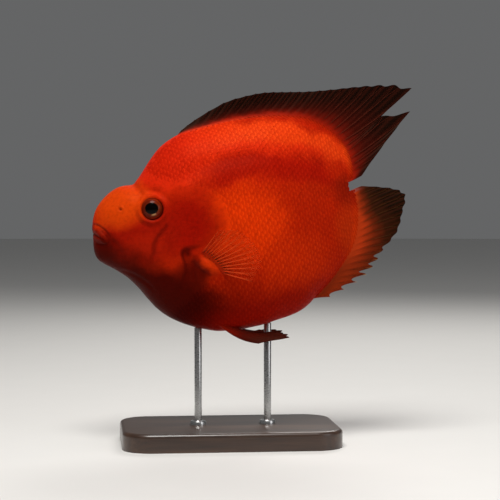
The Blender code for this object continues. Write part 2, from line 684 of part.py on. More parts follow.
def make_stand(fish, clear):
    """A flat base with rounded corners, and two rods up to the belly."""
    shape = bmesh.new()
    corners = []
    for sign_x, sign_y, first in ((1, 1, 0), (-1, 1, 90), (-1, -1, 180), (1, -1, 270)):
        for step in range(6):
            turn = math.radians(first + 18 * step)
            corners.append(shape.verts.new((
                (sign_x * (BASE_LENGTH / 2 - BASE_CORNER) + BASE_CORNER * math.cos(turn)) * MM,
                (sign_y * (BASE_WIDTH / 2 - BASE_CORNER) + BASE_CORNER * math.sin(turn)) * MM,
                0.0,
            )))
    bottom = shape.faces.new(corners)
    top = bmesh.ops.extrude_face_region(shape, geom=[bottom])["geom"]
    raised = [v for v in top if isinstance(v, bmesh.types.BMVert)]
    bmesh.ops.translate(shape, vec=(0, 0, BASE_THICKNESS * MM), verts=raised)
    rim = [e for e in shape.edges if all(v in raised for v in e.verts)]
    bmesh.ops.bevel(shape, geom=rim, offset=BASE_BEVEL * MM, segments=2, affect="EDGES", profile=0.5)
    bmesh.ops.recalc_face_normals(shape, faces=shape.faces)
    mesh = bpy.data.meshes.new("stand_base")
    shape.to_mesh(mesh)
    shape.free()
    base = bpy.data.objects.new("stand_base", mesh)
    bpy.context.scene.collection.objects.link(base)

    for name, x in ROD_PLACES.items():
        low = BASE_THICKNESS - ROD_SINK
        rod = tube(name, [(x, 0, low + step * 12.0) for step in range(6)], [ROD_RADIUS] * 6, 16)
        body = clear()
        body.parent = fish
        combine(rod, "DIFFERENCE", [body])
        finish(keep_largest(rod), name, "steel")
        hole = tube("hole", [(x, 0, low - GAP), (x, 0, BASE_THICKNESS + 5)], [ROD_RADIUS + GAP] * 2, 16)
        combine(base, "DIFFERENCE", [hole])
    return finish(keep_largest(base), "stand_base", "wood")


def main():
    for obj in list(bpy.data.objects):
        bpy.data.objects.remove(obj)
    fish = bpy.data.objects.new("fish", None)
    bpy.context.scene.collection.objects.link(fish)
    surface = Surface()

    def clear():
        return body_mesh("clear", TRUNK_GRID, GAP)

    make_head(fish, surface)
    make_trunk(fish, surface)
    for label, side in (("left", -1), ("right", 1)):
        ball = eye_ball("eye", surface, side)
        finish(ball, f"eye_{label}", "eye", fish)
        cover = plate("cover", surface, side, 0.0, GILL_RAISE, GILL_DEPTH)
        finish(cover, f"gill_cover_{label}", "skin", fish)
        make_pectoral_fin(f"pectoral_fin_{label}", side, fish, surface, clear)
        make_pelvic_fin(f"pelvic_fin_{label}", side, fish, clear)
    make_dorsal_fin(fish, clear)
    make_anal_fin(fish, clear)
    fish.location = Vector((MOUTH_X, 0.0, MOUTH_HEIGHT)) * MM
    fish.rotation_euler = (0.0, -HEAD_DOWN, 0.0)
    bpy.context.view_layer.update()
    make_stand(fish, clear)


main()
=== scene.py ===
import math
from functools import partialmethod

import bmesh
import bpy
import numpy as np
from mathutils import Matrix, Vector
from mathutils.bvhtree import BVHTree


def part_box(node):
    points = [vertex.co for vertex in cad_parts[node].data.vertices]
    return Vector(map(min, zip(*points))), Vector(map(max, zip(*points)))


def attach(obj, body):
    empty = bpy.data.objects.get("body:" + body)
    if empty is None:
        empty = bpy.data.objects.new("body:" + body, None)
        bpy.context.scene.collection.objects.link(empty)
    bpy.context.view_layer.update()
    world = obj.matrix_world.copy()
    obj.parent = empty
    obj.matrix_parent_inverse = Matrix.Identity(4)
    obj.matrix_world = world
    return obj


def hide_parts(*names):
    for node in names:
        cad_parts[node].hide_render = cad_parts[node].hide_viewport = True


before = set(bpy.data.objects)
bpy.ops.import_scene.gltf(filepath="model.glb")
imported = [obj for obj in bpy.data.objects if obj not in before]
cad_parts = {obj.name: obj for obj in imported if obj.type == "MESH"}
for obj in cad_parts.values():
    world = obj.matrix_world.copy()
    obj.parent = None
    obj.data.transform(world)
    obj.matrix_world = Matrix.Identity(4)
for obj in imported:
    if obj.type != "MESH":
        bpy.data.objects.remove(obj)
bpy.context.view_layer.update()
scene = bpy.context.scene
scene.view_settings.view_transform = "Standard"
print("frame loaded")

# The fish is worked out in millimetres in its own frame: along from the mouth to the rear notch,
# across towards its right side, up square to both. toWorld puts a point where the CAD has it.
mm = 0.001
fishPlace = {"mouthX": -0.074, "mouthHeight": 0.115, "headDown": math.radians(9.7)}
bothSides = {"left": -1, "right": 1}


def turnToWorld(vectors):  # a direction keeps its length
    along, across, up = np.moveaxis(np.asarray(vectors, float), -1, 0)
    cos, sin = math.cos(fishPlace["headDown"]), math.sin(fishPlace["headDown"])
    return np.stack([along * cos - up * sin, across, along * sin + up * cos], axis=-1)


def toWorld(points):
    return turnToWorld(points) * mm + (fishPlace["mouthX"], 0.0, fishPlace["mouthHeight"])


def unit(vectors):
    return vectors / (np.linalg.norm(vectors, axis=-1, keepdims=True) + 1e-12)


def fade(value, low, high):  # 0 at low, 1 at high, smooth between
    share = np.clip((value - low) / (high - low), 0, 1)
    return share * share * (3 - 2 * share)


def bell(value, width):
    return np.exp(-((value / width) ** 2))


def band(value, place, width, strength):  # strongest where the value is at the place
    return strength * bell(value - place, width)


def crowd(count, amount):  # steps from 0 to 1, closer together at the far end
    share = np.linspace(0, 1, count)
    return share + amount * np.sin(np.pi * share) / np.pi


def lookUp(wanted, known, rows):  # the rows of a table, read between the known places
    return np.stack([np.interp(wanted, known, column) for column in rows.T], axis=-1)


def walkedLengths(line):
    return np.concatenate([[0], np.cumsum(np.linalg.norm(np.diff(line, axis=0), axis=1))])


def smoothLine(points, samples):  # evenly spaced along a curve through the points
    known = np.array(points, float)
    known = np.vstack([2 * known[0] - known[1], known, 2 * known[-1] - known[-2]])
    t = np.linspace(0, 1, 24, endpoint=False)[:, None]
    runs = []
    for p0, p1, p2, p3 in zip(known, known[1:], known[2:], known[3:]):
        runs.append(0.5 * (2 * p1 + (p2 - p0) * t + (2 * p0 - 5 * p1 + 4 * p2 - p3) * t**2
                           + (3 * p1 - p0 - 3 * p2 + p3) * t**3))
    line = np.vstack(runs + [known[-2:-1]])
    walked = walkedLengths(line)
    return lookUp(np.linspace(0, walked[-1], samples), walked, line)


def onLine(line, share):
    return lookUp(share, np.linspace(0, 1, len(line)), line)


def nearLine(points, line):  # distance to the line, and how far along it the nearest place is
    best, share = np.full(len(points), np.inf), np.zeros(len(points))
    count = len(line) - 1
    for i in range(count):
        run = line[i + 1] - line[i]
        t = np.clip(((points - line[i]) @ run) / (run @ run), 0, 1)
        away = np.linalg.norm(points - line[i] - t[:, None] * run, axis=1)
        closer = away < best
        best[closer] = away[closer]
        share[closer] = (i + t[closer]) / count
    return best, share


def insideOutline(places, outline):
    a, h = places[:, 0], places[:, 1]
    inside = np.zeros(len(places), bool)
    for (a0, h0), (a1, h1) in zip(outline, np.roll(outline, -1, axis=0)):
        if h0 != h1:
            inside ^= ((h0 > h) != (h1 > h)) & (a < (a1 - a0) * (h - h0) / (h1 - h0) + a0)
    return inside


def addObject(name, data):
    obj = bpy.data.objects.new(name, data)
    scene.collection.objects.link(obj)
    return obj


def newObject(name, vertices, faces, edges=()):
    mesh = bpy.data.meshes.new(name)
    mesh.from_pydata(np.asarray(vertices, float).tolist(), list(edges), faces)
    mesh.update()
    return addObject(name, mesh)


def ringFaces(rings, count):  # joins each ring of points to the next
    faces = []
    for first in range(0, (rings - 1) * count, count):
        for i in range(count):
            p, q = first + i, first + (i + 1) % count
            faces.append([p, q, q + count, p + count])
    return faces


def giveValues(obj, **named):  # a number or a vector for each vertex
    for name, values in named.items():
        values = np.asarray(values, np.float32)
        kind, key = ("FLOAT_VECTOR", "vector") if values.ndim == 2 else ("FLOAT", "value")
        obj.data.attributes.new(name, kind, "POINT").data.foreach_set(key, values.ravel())


def readValues(items, key, width=3, kind=float):
    values = np.zeros(len(items) * width, kind)
    items.foreach_get(key, values)
    return values.reshape(-1, width)


def movePoints(obj, points):
    obj.data.vertices.foreach_set("co", points.ravel())
    obj.data.update()


def faceOutwards(obj, weld=False):
    shape = bmesh.new()
    shape.from_mesh(obj.data)
    if weld:
        bmesh.ops.remove_doubles(shape, verts=shape.verts, dist=1e-7)
    bmesh.ops.recalc_face_normals(shape, faces=shape.faces)
    shape.to_mesh(obj.data)
    shape.free()
    return obj


def addPiece(obj, material, replaced=(), sharpFrom=None):
    obj.data.materials.clear()
    obj.data.materials.append(material)
    obj.data.shade_smooth()
    if sharpFrom:
        obj.data.set_sharp_from_angle(angle=math.radians(sharpFrom))
    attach(obj, "root")
    if replaced:
        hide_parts(*replaced)
    return obj


# Shader and geometry trees
class Value:  # a socket that takes part in sums
    def __init__(self, nodes, socket):
        self.nodes, self.socket = nodes, socket

    def maths(self, operation, other):
        return self.nodes.number(operation, self, other)

    def __rsub__(self, other):
        return self.nodes.number("SUBTRACT", other, self)

    __add__ = __radd__ = partialmethod(maths, "ADD")
    __mul__ = __rmul__ = partialmethod(maths, "MULTIPLY")
    __sub__ = partialmethod(maths, "SUBTRACT")
    __truediv__ = partialmethod(maths, "DIVIDE")
    __pow__ = partialmethod(maths, "POWER")


class Node:
    def __init__(self, nodes, node):
        self.nodes, self.node = nodes, node

    def out(self, name=0):
        return Value(self.nodes, self.node.outputs[name])


class Nodes:  # wraps one node tree
    def __init__(self, tree):
        self.tree = tree

    def add(self, kind, values=None, **settings):
        node = self.tree.nodes.new(kind)
        for key, setting in settings.items():
            setattr(node, key, setting)
        for key, value in (values or {}).items():
            if isinstance(value, Value):
                self.tree.links.new(value.socket, node.inputs[key])
            else:
                node.inputs[key].default_value = value
        return Node(self, node)

    def feed(self, **links):  # into the surface shader
        shader = self.tree.nodes["Principled BSDF"]
        for key, value in links.items():
            self.tree.links.new(value.socket, shader.inputs[key.replace("_", " ")])

    def number(self, operation, *values):
        return self.add("ShaderNodeMath", dict(enumerate(values)), operation=operation).out()

    def mixColour(self, share, first, second, blend="MIX"):
        values = {0: share, 6: first, 7: second}
        for key in (6, 7):
            if isinstance(values[key], tuple):
                values[key] = (*values[key], 1.0)
        return self.add("ShaderNodeMix", values, data_type="RGBA", blend_type=blend).out(2)

    def tinted(self, colour, tint):
        return self.mixColour(1.0, colour, tint, "MULTIPLY")

    def ramp(self, value, stops):  # stops are pairs of place and colour
        node = self.add("ShaderNodeValToRGB", {0: value})
        elements = node.node.color_ramp.elements
        while len(elements) < len(stops):
            elements.new(0.5)
        for element, (place, colour) in zip(elements, stops):
            element.position = place
            element.color = (*colour, 1.0)
        return node.out(0)

    def between(self, value, low, high):  # 0 at low, 1 at high, smooth between
        values = {0: value, 1: low, 2: high}
        return self.add("ShaderNodeMapRange", values, interpolation_type="SMOOTHSTEP").out()

    def bump(self, height, strength, distance, **under):
        values = {"Strength": strength, "Distance": distance, "Height": height, **under}
        return self.add("ShaderNodeBump", values).out()

    def noise(self, vector, scale, detail=3.0, roughness=0.5):
        values = {"Vector": vector, "Scale": scale, "Detail": detail, "Roughness": roughness}
        return self.add("ShaderNodeTexNoise", values).out(0)

    def places(self, *scale, **more):  # Object coordinates, each axis scaled
        plain = self.add("ShaderNodeTexCoord").out("Object")
        return self.add("ShaderNodeMapping", {"Vector": plain, "Scale": scale, **more}).out()

    def fishPlaces(self):  # in the fish's own frame and in millimetres
        turn = fishPlace["headDown"]
        mouth = Vector((fishPlace["mouthX"], 0, fishPlace["mouthHeight"])) / mm
        start = -(Matrix.Rotation(turn, 3, "Y") @ mouth)
        return self.places(1 / mm, 1 / mm, 1 / mm, Location=start, Rotation=(0, turn, 0))

    def parts(self, vector):
        node = self.add("ShaderNodeSeparateXYZ", {0: vector})
        return node.out(0), node.out(1), node.out(2)

    def stored(self, name, output="Fac"):
        return self.add("ShaderNodeAttribute", attribute_name=name).out(output)

    def named(self, name, kind="FLOAT"):
        return self.add("GeometryNodeInputNamedAttribute", {"Name": name}, data_type=kind).out(0)

    def fleshColour(self):
        return self.add("ShaderNodeGroup", node_tree=colourGroup).out(0)


def newTree(name, kind, inputs, outputs):
    tree = bpy.data.node_groups.new(name, kind)
    for way, sockets in (("INPUT", inputs), ("OUTPUT", outputs)):
        for label, socket in sockets.items():
            tree.interface.new_socket(label, in_out=way, socket_type="NodeSocket" + socket)
    return tree


def growthTree(name, inputs, grow):  # grow makes the new geometry, which is dressed and handed out
    inputs = {"Geometry": "Geometry", **inputs, "Material": "Material"}
    tree = newTree(name, "GeometryNodeTree", inputs, {"Geometry": "Geometry"})
    nodes = Nodes(tree)
    given = nodes.add("NodeGroupInput").out
    solid = nodes.add("GeometryNodeRealizeInstances", {0: grow(nodes, given)}).out()
    dressed = nodes.add("GeometryNodeSetMaterial", {"Geometry": solid, "Material": given("Material")})
    nodes.add("NodeGroupOutput", {0: dressed.out()})
    return tree


def bakeNodes(obj, tree, inputs):  # runs a geometry tree on an object and keeps the plain result
    modifier = obj.modifiers.new("grow", "NODES")
    modifier.node_group = tree
    for item in tree.interface.items_tree:
        if item.name in inputs and item.in_out == "INPUT":
            modifier[item.identifier] = inputs[item.name]
    bpy.context.view_layer.update()
    graph = bpy.context.evaluated_depsgraph_get()
    result = bpy.data.meshes.new_from_object(obj.evaluated_get(graph))
    obj.modifiers.clear()
    obj.data = result
    obj.data.name = obj.name
    return obj


def newMaterial(name, fixed):  # fixed holds what is the same all over the surface
    material = bpy.data.materials.new(name)
    material.use_nodes = True
    for key, value in fixed.items():
        material.node_tree.nodes["Principled BSDF"].inputs[key].default_value = value
    return material, Nodes(material.node_tree)


# Body colours, shared by the skin, its scales and the roots of the fins, some of them painted shade and
# painted highlight
bodyColours = {
    # painted shade: the band, belly, darkest throat and crease colours; the ridge colour is partly a painted
    # highlight on the upper back's orange
    "flank": (0.46, 0.0160, 0.0015), "back": (0.70, 0.026, 0.004), "ridgeOrangeAndHighlight": (0.76, 0.050, 0.005),
    "nape": (0.60, 0.017, 0.003), "band": (0.37, 0.0072, 0.0015), "amber": (0.76, 0.040, 0.0018),
    "russet": (0.58, 0.026, 0.002), "shade": (0.26, 0.010, 0.002), "glow": (0.50, 0.031, 0.003),
    "gill": (0.29, 0.0042, 0.001), "face": (0.29, 0.0062, 0.0015), "cheek": (0.38, 0.0105, 0.002),
    "snout": (0.44, 0.017, 0.002), "forehead": (0.60, 0.046, 0.002), "belly": (0.32, 0.0065, 0.0012),
    "deepShade": (0.060, 0.0012, 0.0005), "lobe": (0.52, 0.027, 0.002), "lip": (0.17, 0.0080, 0.0032),
    "crease": (0.06, 0.001, 0.0005), "dusk": (0.11, 0.0055, 0.0013),
}


def bodyColourGroup():
    tree = newTree("bodyColour", "ShaderNodeTree", {}, {"Colour": "Color"})
    nodes = Nodes(tree)
    between = nodes.between
    places = nodes.fishPlaces()
    along, _, up = nodes.parts(places)
    blur = (nodes.noise(places, 0.09, 2.0) - 0.5) * 9.0  # breaks up the borders
    along, up = along + blur, up + blur
    arch = up + ((along - 84.0) ** 2.0) * 0.006  # follows the arched back
    low = up + along * 0.55  # the painted shade of the throat rises towards the mouth

    def spot(centreAlong, centreUp, reachAlong, reachUp):
        away = ((along - centreAlong) / reachAlong) ** 2.0 + ((up - centreUp) / reachUp) ** 2.0
        return between(away, 1.0, 0.0)

    # painted shade: the dark arched band in the groove under the lit ridge of the back
    band = between(((arch - 21.0) / 9.5) ** 2.0, 1.0, 0.0) * between(along, 54.0, 76.0)
    layers = [  # each lies over the ones before it
        ("back", between(up, 4.0, 32.0)),
        ("amber", spot(79.0, -10.0, 32.0, 28.0)),
        ("russet", spot(104.0, -37.0, 27.0, 23.0) * 0.9),
        ("nape", between(along, 72.0, 48.0) * between(up, 12.0, 24.0)),
        # partly painted highlight: the lit strip along the upper back, over its more orange colour
        ("ridgeOrangeAndHighlight", between(arch, 29.0, 38.0) * between(along, 52.0, 100.0)),
        # painted shade in the groove under the ridge
        ("band", band * between(along, 142.0, 124.0)),
        # painted shade just inside the back's top outline, where it turns away from the light
        ("band", between(arch, 42.0, 48.5) * between(along, 66.0, 90.0) * 0.8),
        ("shade", spot(141.0, -2.0, 13.0, 14.0) * 0.8),
        ("glow", spot(140.0, -24.0, 14.0, 20.0) * 0.9),
        ("gill", spot(51.0, -4.0, 23.0, 23.0)),
        ("face", spot(22.0, -6.0, 31.0, 23.0)),
        ("cheek", spot(26.0, -11.5, 13.0, 9.0) * 0.8),
        ("snout", spot(13.0, 4.5, 17.0, 8.5) * 0.9),
        ("forehead", spot(16.0, 13.0, 21.0, 16.0)),
        # painted shade: the lower body darker, as lit from above
        ("belly", between(up, -38.0, -56.0)),
        # painted shade on the throat, lower face and chin, as lit from above
        ("deepShade", between(low, 3.0, -15.0) * between(along, 82.0, 48.0)),
        ("deepShade", spot(0.0, -10.0, 16.0, 11.0) * 0.75),
        # the lowest edge of the belly is lifted back from the deeper painted shade to the belly's shade
        ("belly", between(up, -47.0, -63.0) * between(along, 36.0, 66.0) * 0.8),
        # painted shadow under the fleshy root of the pectoral fin
        ("deepShade", spot(48.5, -31.5, 11.0, 13.0) * 0.85),
        ("lobe", spot(58.5, -26.8, 7.5, 7.0)),
        ("lip", spot(1.5, 0.2, 6.5, 4.2) * 0.9),
    ]
    colour = bodyColours["flank"]
    for name, mask in layers:
        colour = nodes.mixColour(mask, colour, bodyColours[name])
    mottle = between(nodes.noise(places, 0.55, 4.0, 0.6), 0.62, 0.3)
    colour = nodes.mixColour(mottle * 0.45, colour, nodes.tinted(colour, (0.62, 0.52, 0.5)))
    nodes.add("NodeGroupOutput", {0: colour}, is_active_output=True)
    return tree


colourGroup = bodyColourGroup()
redShine = (1.0, 0.30, 0.10, 1.0)
skinLook = {
    "shine": 0.06, "glow": 0.08, "glowDepth": 0.002, "glowTint": (1.0, 0.25, 0.1), "roughness": (0.36, 0.16),
    "poreScale": 2.6, "foldScale": 0.5, "pores": (0.3, 0.00025), "folds": (0.25, 0.0006),
}
# dark and light tint the scale colour: painted shade on each scale's covered root, painted light on its free
# edge
scaleLook = {
    "shine": 0.04, "dark": (0.80, 0.66, 0.66), "light": (1.06, 1.25, 1.25), "edge": (0.18, 0.5),
    "uneven": 0.3, "rings": 190.0, "ringRelief": (0.07, 0.00006), "roughness": (0.48, 0.08),
}


def skinMaterial():
    look = skinLook
    fixed = {"Specular IOR Level": look["shine"], "Specular Tint": redShine,
             "Subsurface Weight": look["glow"], "Subsurface Scale": look["glowDepth"],
             "Subsurface Radius": look["glowTint"]}
    material, nodes = newMaterial("wetSkin", fixed)
    places, (least, more) = nodes.fishPlaces(), look["roughness"]
    pores = nodes.noise(places, look["poreScale"], 3.0, 0.6)
    folds = nodes.bump(nodes.noise(places, look["foldScale"]), *look["folds"])
    # painted shade: the flesh colour darkens towards the crease colour in creases, pits, hollows and the
    # mouth slit
    colour = nodes.mixColour(nodes.stored("crease"), nodes.fleshColour(), bodyColours["crease"])
    normal = nodes.bump(pores, *look["pores"], Normal=folds)
    nodes.feed(Base_Color=colour, Roughness=pores * more + least, Normal=normal)
    return material


def scaleMaterial():
    look = scaleLook
    fixed = {"Specular IOR Level": look["shine"], "Specular Tint": redShine}
    material, nodes = newMaterial("bodyScales", fixed)
    lengthwise, sideways, _ = nodes.parts(nodes.stored("patch", "Vector"))
    # the free edge of each scale gets painted light, the covered root painted shade
    edge = nodes.between(lengthwise, *look["edge"])
    growth = nodes.number("SINE", (lengthwise ** 2.0 + sideways ** 2.0) * look["rings"])
    under = nodes.mixColour(nodes.stored("dusk"), nodes.fleshColour(), bodyColours["dusk"])
    # lit and shaded copies of the flesh colour; the shaded copy also gives some scales their random darker
    # tone
    dark, light = nodes.tinted(under, look["dark"]), nodes.tinted(under, look["light"])
    colour = nodes.mixColour(edge, dark, light)
    colour = nodes.mixColour(nodes.stored("tint") * look["uneven"], colour, dark)
    most, less = look["roughness"]
    normal = nodes.bump(growth, *look["ringRelief"])
    nodes.feed(Base_Color=colour, Roughness=most - edge * less, Normal=normal)
    return material


# The flesh: the same form as the solids, finer, with its folds, lips, lids and gill edges
bodyForm = {
    "backProfile": [
        (141.6, 0.0), (142.6, 9.6), (141.2, 20.3), (135.6, 30.6), (125.3, 39.1), (113.4, 43.7),
        (101.0, 46.0), (89.0, 46.8), (76.2, 46.3), (63.2, 45.0), (55.9, 44.1), (50.2, 42.4),
        (43.7, 39.0), (37.9, 33.9), (33.6, 29.2), (29.4, 24.6), (25.6, 21.6), (21.9, 21.6),
        (18.0, 21.4), (14.0, 20.0), (10.0, 17.6), (6.1, 14.3), (3.1, 10.4), (1.0, 5.4), (0.2, 0.8),
    ],
    "bellyProfile": [
        (-0.2, -3.4), (-0.8, -7.4), (-0.8, -12.0), (0.6, -15.6), (3.6, -18.4), (8.2, -22.0),
        (13.6, -26.8), (18.8, -33.6), (23.4, -41.2), (28.4, -48.4), (35.4, -54.6), (45.3, -60.3),
        (57.0, -64.6), (69.2, -66.0), (79.2, -65.8), (88.1, -65.0), (97.2, -63.6), (104.1, -61.8),
        (109.6, -59.0), (115.6, -54.2), (123.4, -47.8), (131.8, -39.4), (138.3, -30.0),
        (141.9, -19.0), (142.0, -9.6),
    ],
    "widthStations": [-2.0, 4.0, 10.0, 20.0, 33.0, 46.0, 60.0, 75.0, 90.0, 105.0, 118.0, 130.0, 142.0, 150.0],
    "halfWidths": [11.0, 11.8, 13.0, 15.0, 17.4, 20.4, 23.4, 24.6, 23.4, 20.0, 15.6, 10.8, 5.6, 3.8],
    "coreFront": 29.0, "coreRear": 106.0, "coreLevel": -4.0, "coreSag": 5.0, "coreHalfHeight": 1.2,
    "backEdge": (2.2, 0.64), "bellyEdge": (2.9, 0.54), "headEdge": (2.3, 0.5),
    "headFrom": 32.0, "headTo": 62.0,
    "swells": [  # line, width, height
        ([(56.0, 22.5), (70.0, 26.0), (84.0, 26.7), (98.0, 25.6), (111.0, 22.2), (123.0, 17.0),
          (132.0, 11.0)], 4.6, -1.1),
        ([(26.5, 21.0), (36.5, 15.0)], 2.6, -1.3), ([(12.0, 9.0), (21.0, 13.0)], 7.5, 0.9),
        ([(12.0, -8.0), (22.0, -10.0)], 6.5, 0.6), ([(42.0, 33.0), (64.0, 36.0)], 7.0, 0.6),
    ],
    "around": 456, "levels": 66, "crowding": 0.55, "eyeRefined": 8.0, "mouthRefined": 8.5,
    "unevenness": 0.1, "creaseShadeStrength": 0.8,
}

walkSteps = 2400
backWalk = smoothLine(bodyForm["backProfile"], walkSteps)
bellyEnds = bodyForm["backProfile"][-1:], bodyForm["backProfile"][:1]
bellyWalk = smoothLine(bellyEnds[0] + bodyForm["bellyProfile"] + bellyEnds[1], walkSteps)[::-1]
fleshOutline = np.vstack([backWalk[::8], bellyWalk[::-8]])
widthCurve = smoothLine(list(zip(bodyForm["widthStations"], bodyForm["halfWidths"])), 400)


def bodyGrid():
    form = bodyForm
    half = form["around"] // 2
    share = crowd(half + 1, form["crowding"])
    outline = np.vstack([onLine(backWalk, share), onLine(bellyWalk, share)[-2:0:-1]])
    angle = np.pi * np.concatenate([share, 2 - share[-2:0:-1]])
    middle = (form["coreFront"] + form["coreRear"]) / 2
    core = np.column_stack([
        middle + (form["coreRear"] - middle) * np.cos(angle),
        form["coreLevel"] - form["coreSag"] * np.sin(angle) ** 2 + form["coreHalfHeight"] * np.sin(angle),
    ])
    out = np.sin(np.pi / 2 * np.linspace(0, 1, form["levels"] + 1))[:, None]
    a = core[:, 0] + out * (outline[:, 0] - core[:, 0])
    h = core[:, 1] + out * (outline[:, 1] - core[:, 1])
    upward = 0.5 + 0.5 * np.sin(angle)
    headward = np.clip((form["headTo"] - a) / (form["headTo"] - form["headFrom"]), 0, 1)
    power, root = (
        (belly + (back - belly) * upward) * (1 - headward) + head * headward
        for belly, back, head in zip(form["bellyEdge"], form["backEdge"], form["headEdge"])
    )
    y = np.interp(a, widthCurve[:, 0], widthCurve[:, 1]) * np.clip(1 - out**power, 0, 1) ** root
    places = np.column_stack([a.ravel(), h.ravel()])
    for line, width, height in form["swells"]:
        away = nearLine(places, np.array(line))[0].reshape(a.shape)
        y = y + height * bell(away, width) * (1 - out**6)
    y[-1] = 0
    return a, h, y


eyeForm = {
    "along": 33.2, "up": 6.8, "radius": 6.2, "halfDepth": 4.6, "turn": math.radians(12.0),
    "pupil": (3.5, 3.05), "pupilShift": (-0.5, 0.5), "spans": 40, "turns": 72,
    "lid": (7.1, 1.15, 0.75), "moat": (9.8, 0.9, -0.2), "shade": (5.7, 0.35, 0.6),  # radius, width, strength; shade is painted shade at the socket's edge
    "socket": (5.0, 5.85, 4.6),  # inner and outer radius, depth
}
mouthForm = {
    "corner": (6.6, 7.4, -6.2), "upperTip": (2.7, 1.4), "lowerTip": (2.9, -3.4), "lipRadius": 2.0,
    "lowerFuller": 1.08, "lipBlend": 1.8, "slitUp": -1.0, "slitFall": -0.84, "slitHalfHeight": 0.45,
    "slitDepth": 0.3, "slitEnd": 6.6, "shadow": 0.75,
}
bareHead = [(-30.0, -60.0), (-30.0, 40.0)]  # closes a line behind the head in front of the fish
gillForm = {
    "freeEdge": [
        (46.0, 13.8), (53.0, 11.0), (60.4, 5.6), (64.2, -2.0), (63.4, -9.0), (58.8, -13.8), (52.6, -16.2),
        (47.4, -16.4), (44.4, -17.6), (43.8, -20.8), (44.6, -25.4), (43.6, -30.6), (38.2, -38.6),
        (30.0, -45.0), (22.0, -49.6),
    ],
    "raise": 0.95, "cleft": 0.8, "step": 0.25, "shoulder": 7.0, "cleftWidth": 1.3,
    "recess": (47.2, -19.8), "recessWidth": 2.3, "recessDepth": 1.0,
    "faint": 0.15, "clearFrom": 0.42, "clearTo": 0.54,
    "shade": (-0.6, 0.9, 0.85),  # place across the edge, width, strength of the painted shade
}
creases = [  # points, depth, width, strength of the painted shade along it
    ([(26.0, 22.6), (28.2, 18.0), (29.8, 13.8)], 0.6, 1.3, 0.2),
    ([(0.2, 4.3), (3.4, 2.9), (6.6, -0.2), (8.8, -4.6)], 0.42, 0.7, 0.5),
    ([(0.2, -6.6), (3.6, -7.2), (7.4, -7.0)], 0.3, 0.8, 0.2),
    ([(9.0, -5.0), (12.0, -9.5), (13.0, -14.0)], 0.3, 1.0, 0.15),
    ([(42.0, -0.6), (38.0, -4.4), (33.4, -8.8), (30.8, -12.4), (29.6, -17.2), (26.4, -21.6)],
     0.75, 1.25, 0.5),
    ([(9.0, -21.8), (18.0, -26.4), (25.0, -33.0), (27.4, -38.0)], 0.3, 1.0, 0.2),
    ([(48.2, -23.0), (49.6, -25.6), (49.6, -29.0), (48.6, -35.0)], 0.5, 0.9, 0.4),
]
lobeForm = {"start": (52.4, -23.4), "end": (60.6, -31.4), "reach": 2.0, "halfWidth": 3.6, "height": 2.1,
            "roundness": 1.15, "shade": (1.05, 0.14, 0.3)}
nostril = {"along": 16.5, "up": 9.5, "rim": (1.5, 0.6, 0.24), "pit": (0.0, 0.7, -0.9),
           "shade": (0.0, 0.7, 0.9)}


def lipLine(tip):
    turn = np.linspace(-0.5 * math.pi, 0.5 * math.pi, 41)
    corner, front = mouthForm["corner"], np.cos(turn)
    line = np.column_stack([
        corner[0] + (tip[0] - corner[0]) * front, corner[1] * np.sin(turn),
        corner[2] + (tip[1] - corner[2]) * front,
    ])
    return line, mouthForm["lipRadius"] * (0.45 + 0.55 * front**0.6)


def swellLips(points):  # wraps the skin round the two lip rolls
    near = np.nonzero((points[:, 0] < 11) & (np.abs(points[:, 2] + 2) < 9))[0]
    for tip, fuller in ((mouthForm["upperTip"], 1.0), (mouthForm["lowerTip"], mouthForm["lowerFuller"])):
        line, radii = lipLine(tip)
        away, share = nearLine(points[near], line)
        centre = onLine(line, share)
        radius = np.interp(share, np.linspace(0, 1, len(radii)), radii) * fuller
        blend = mouthForm["lipBlend"]
        overlap = np.clip(blend - np.abs(away - radius), 0, None) / blend
        reach = np.maximum(away, radius) + overlap**2 * blend / 4
        points[near] = centre + unit(points[near] - centre) * reach[:, None]
    return points


def lobeAway(places):  # below 1 on the fleshy root of the pectoral fin
    start, end = np.array(lobeForm["start"]), np.array(lobeForm["end"])
    axis = unit(end - start)
    offset = places - (start + end) / 2
    reach = np.linalg.norm(end - start) / 2 + lobeForm["reach"]
    return np.hypot(offset @ axis / reach, offset @ [-axis[1], axis[0]] / lobeForm["halfWidth"])


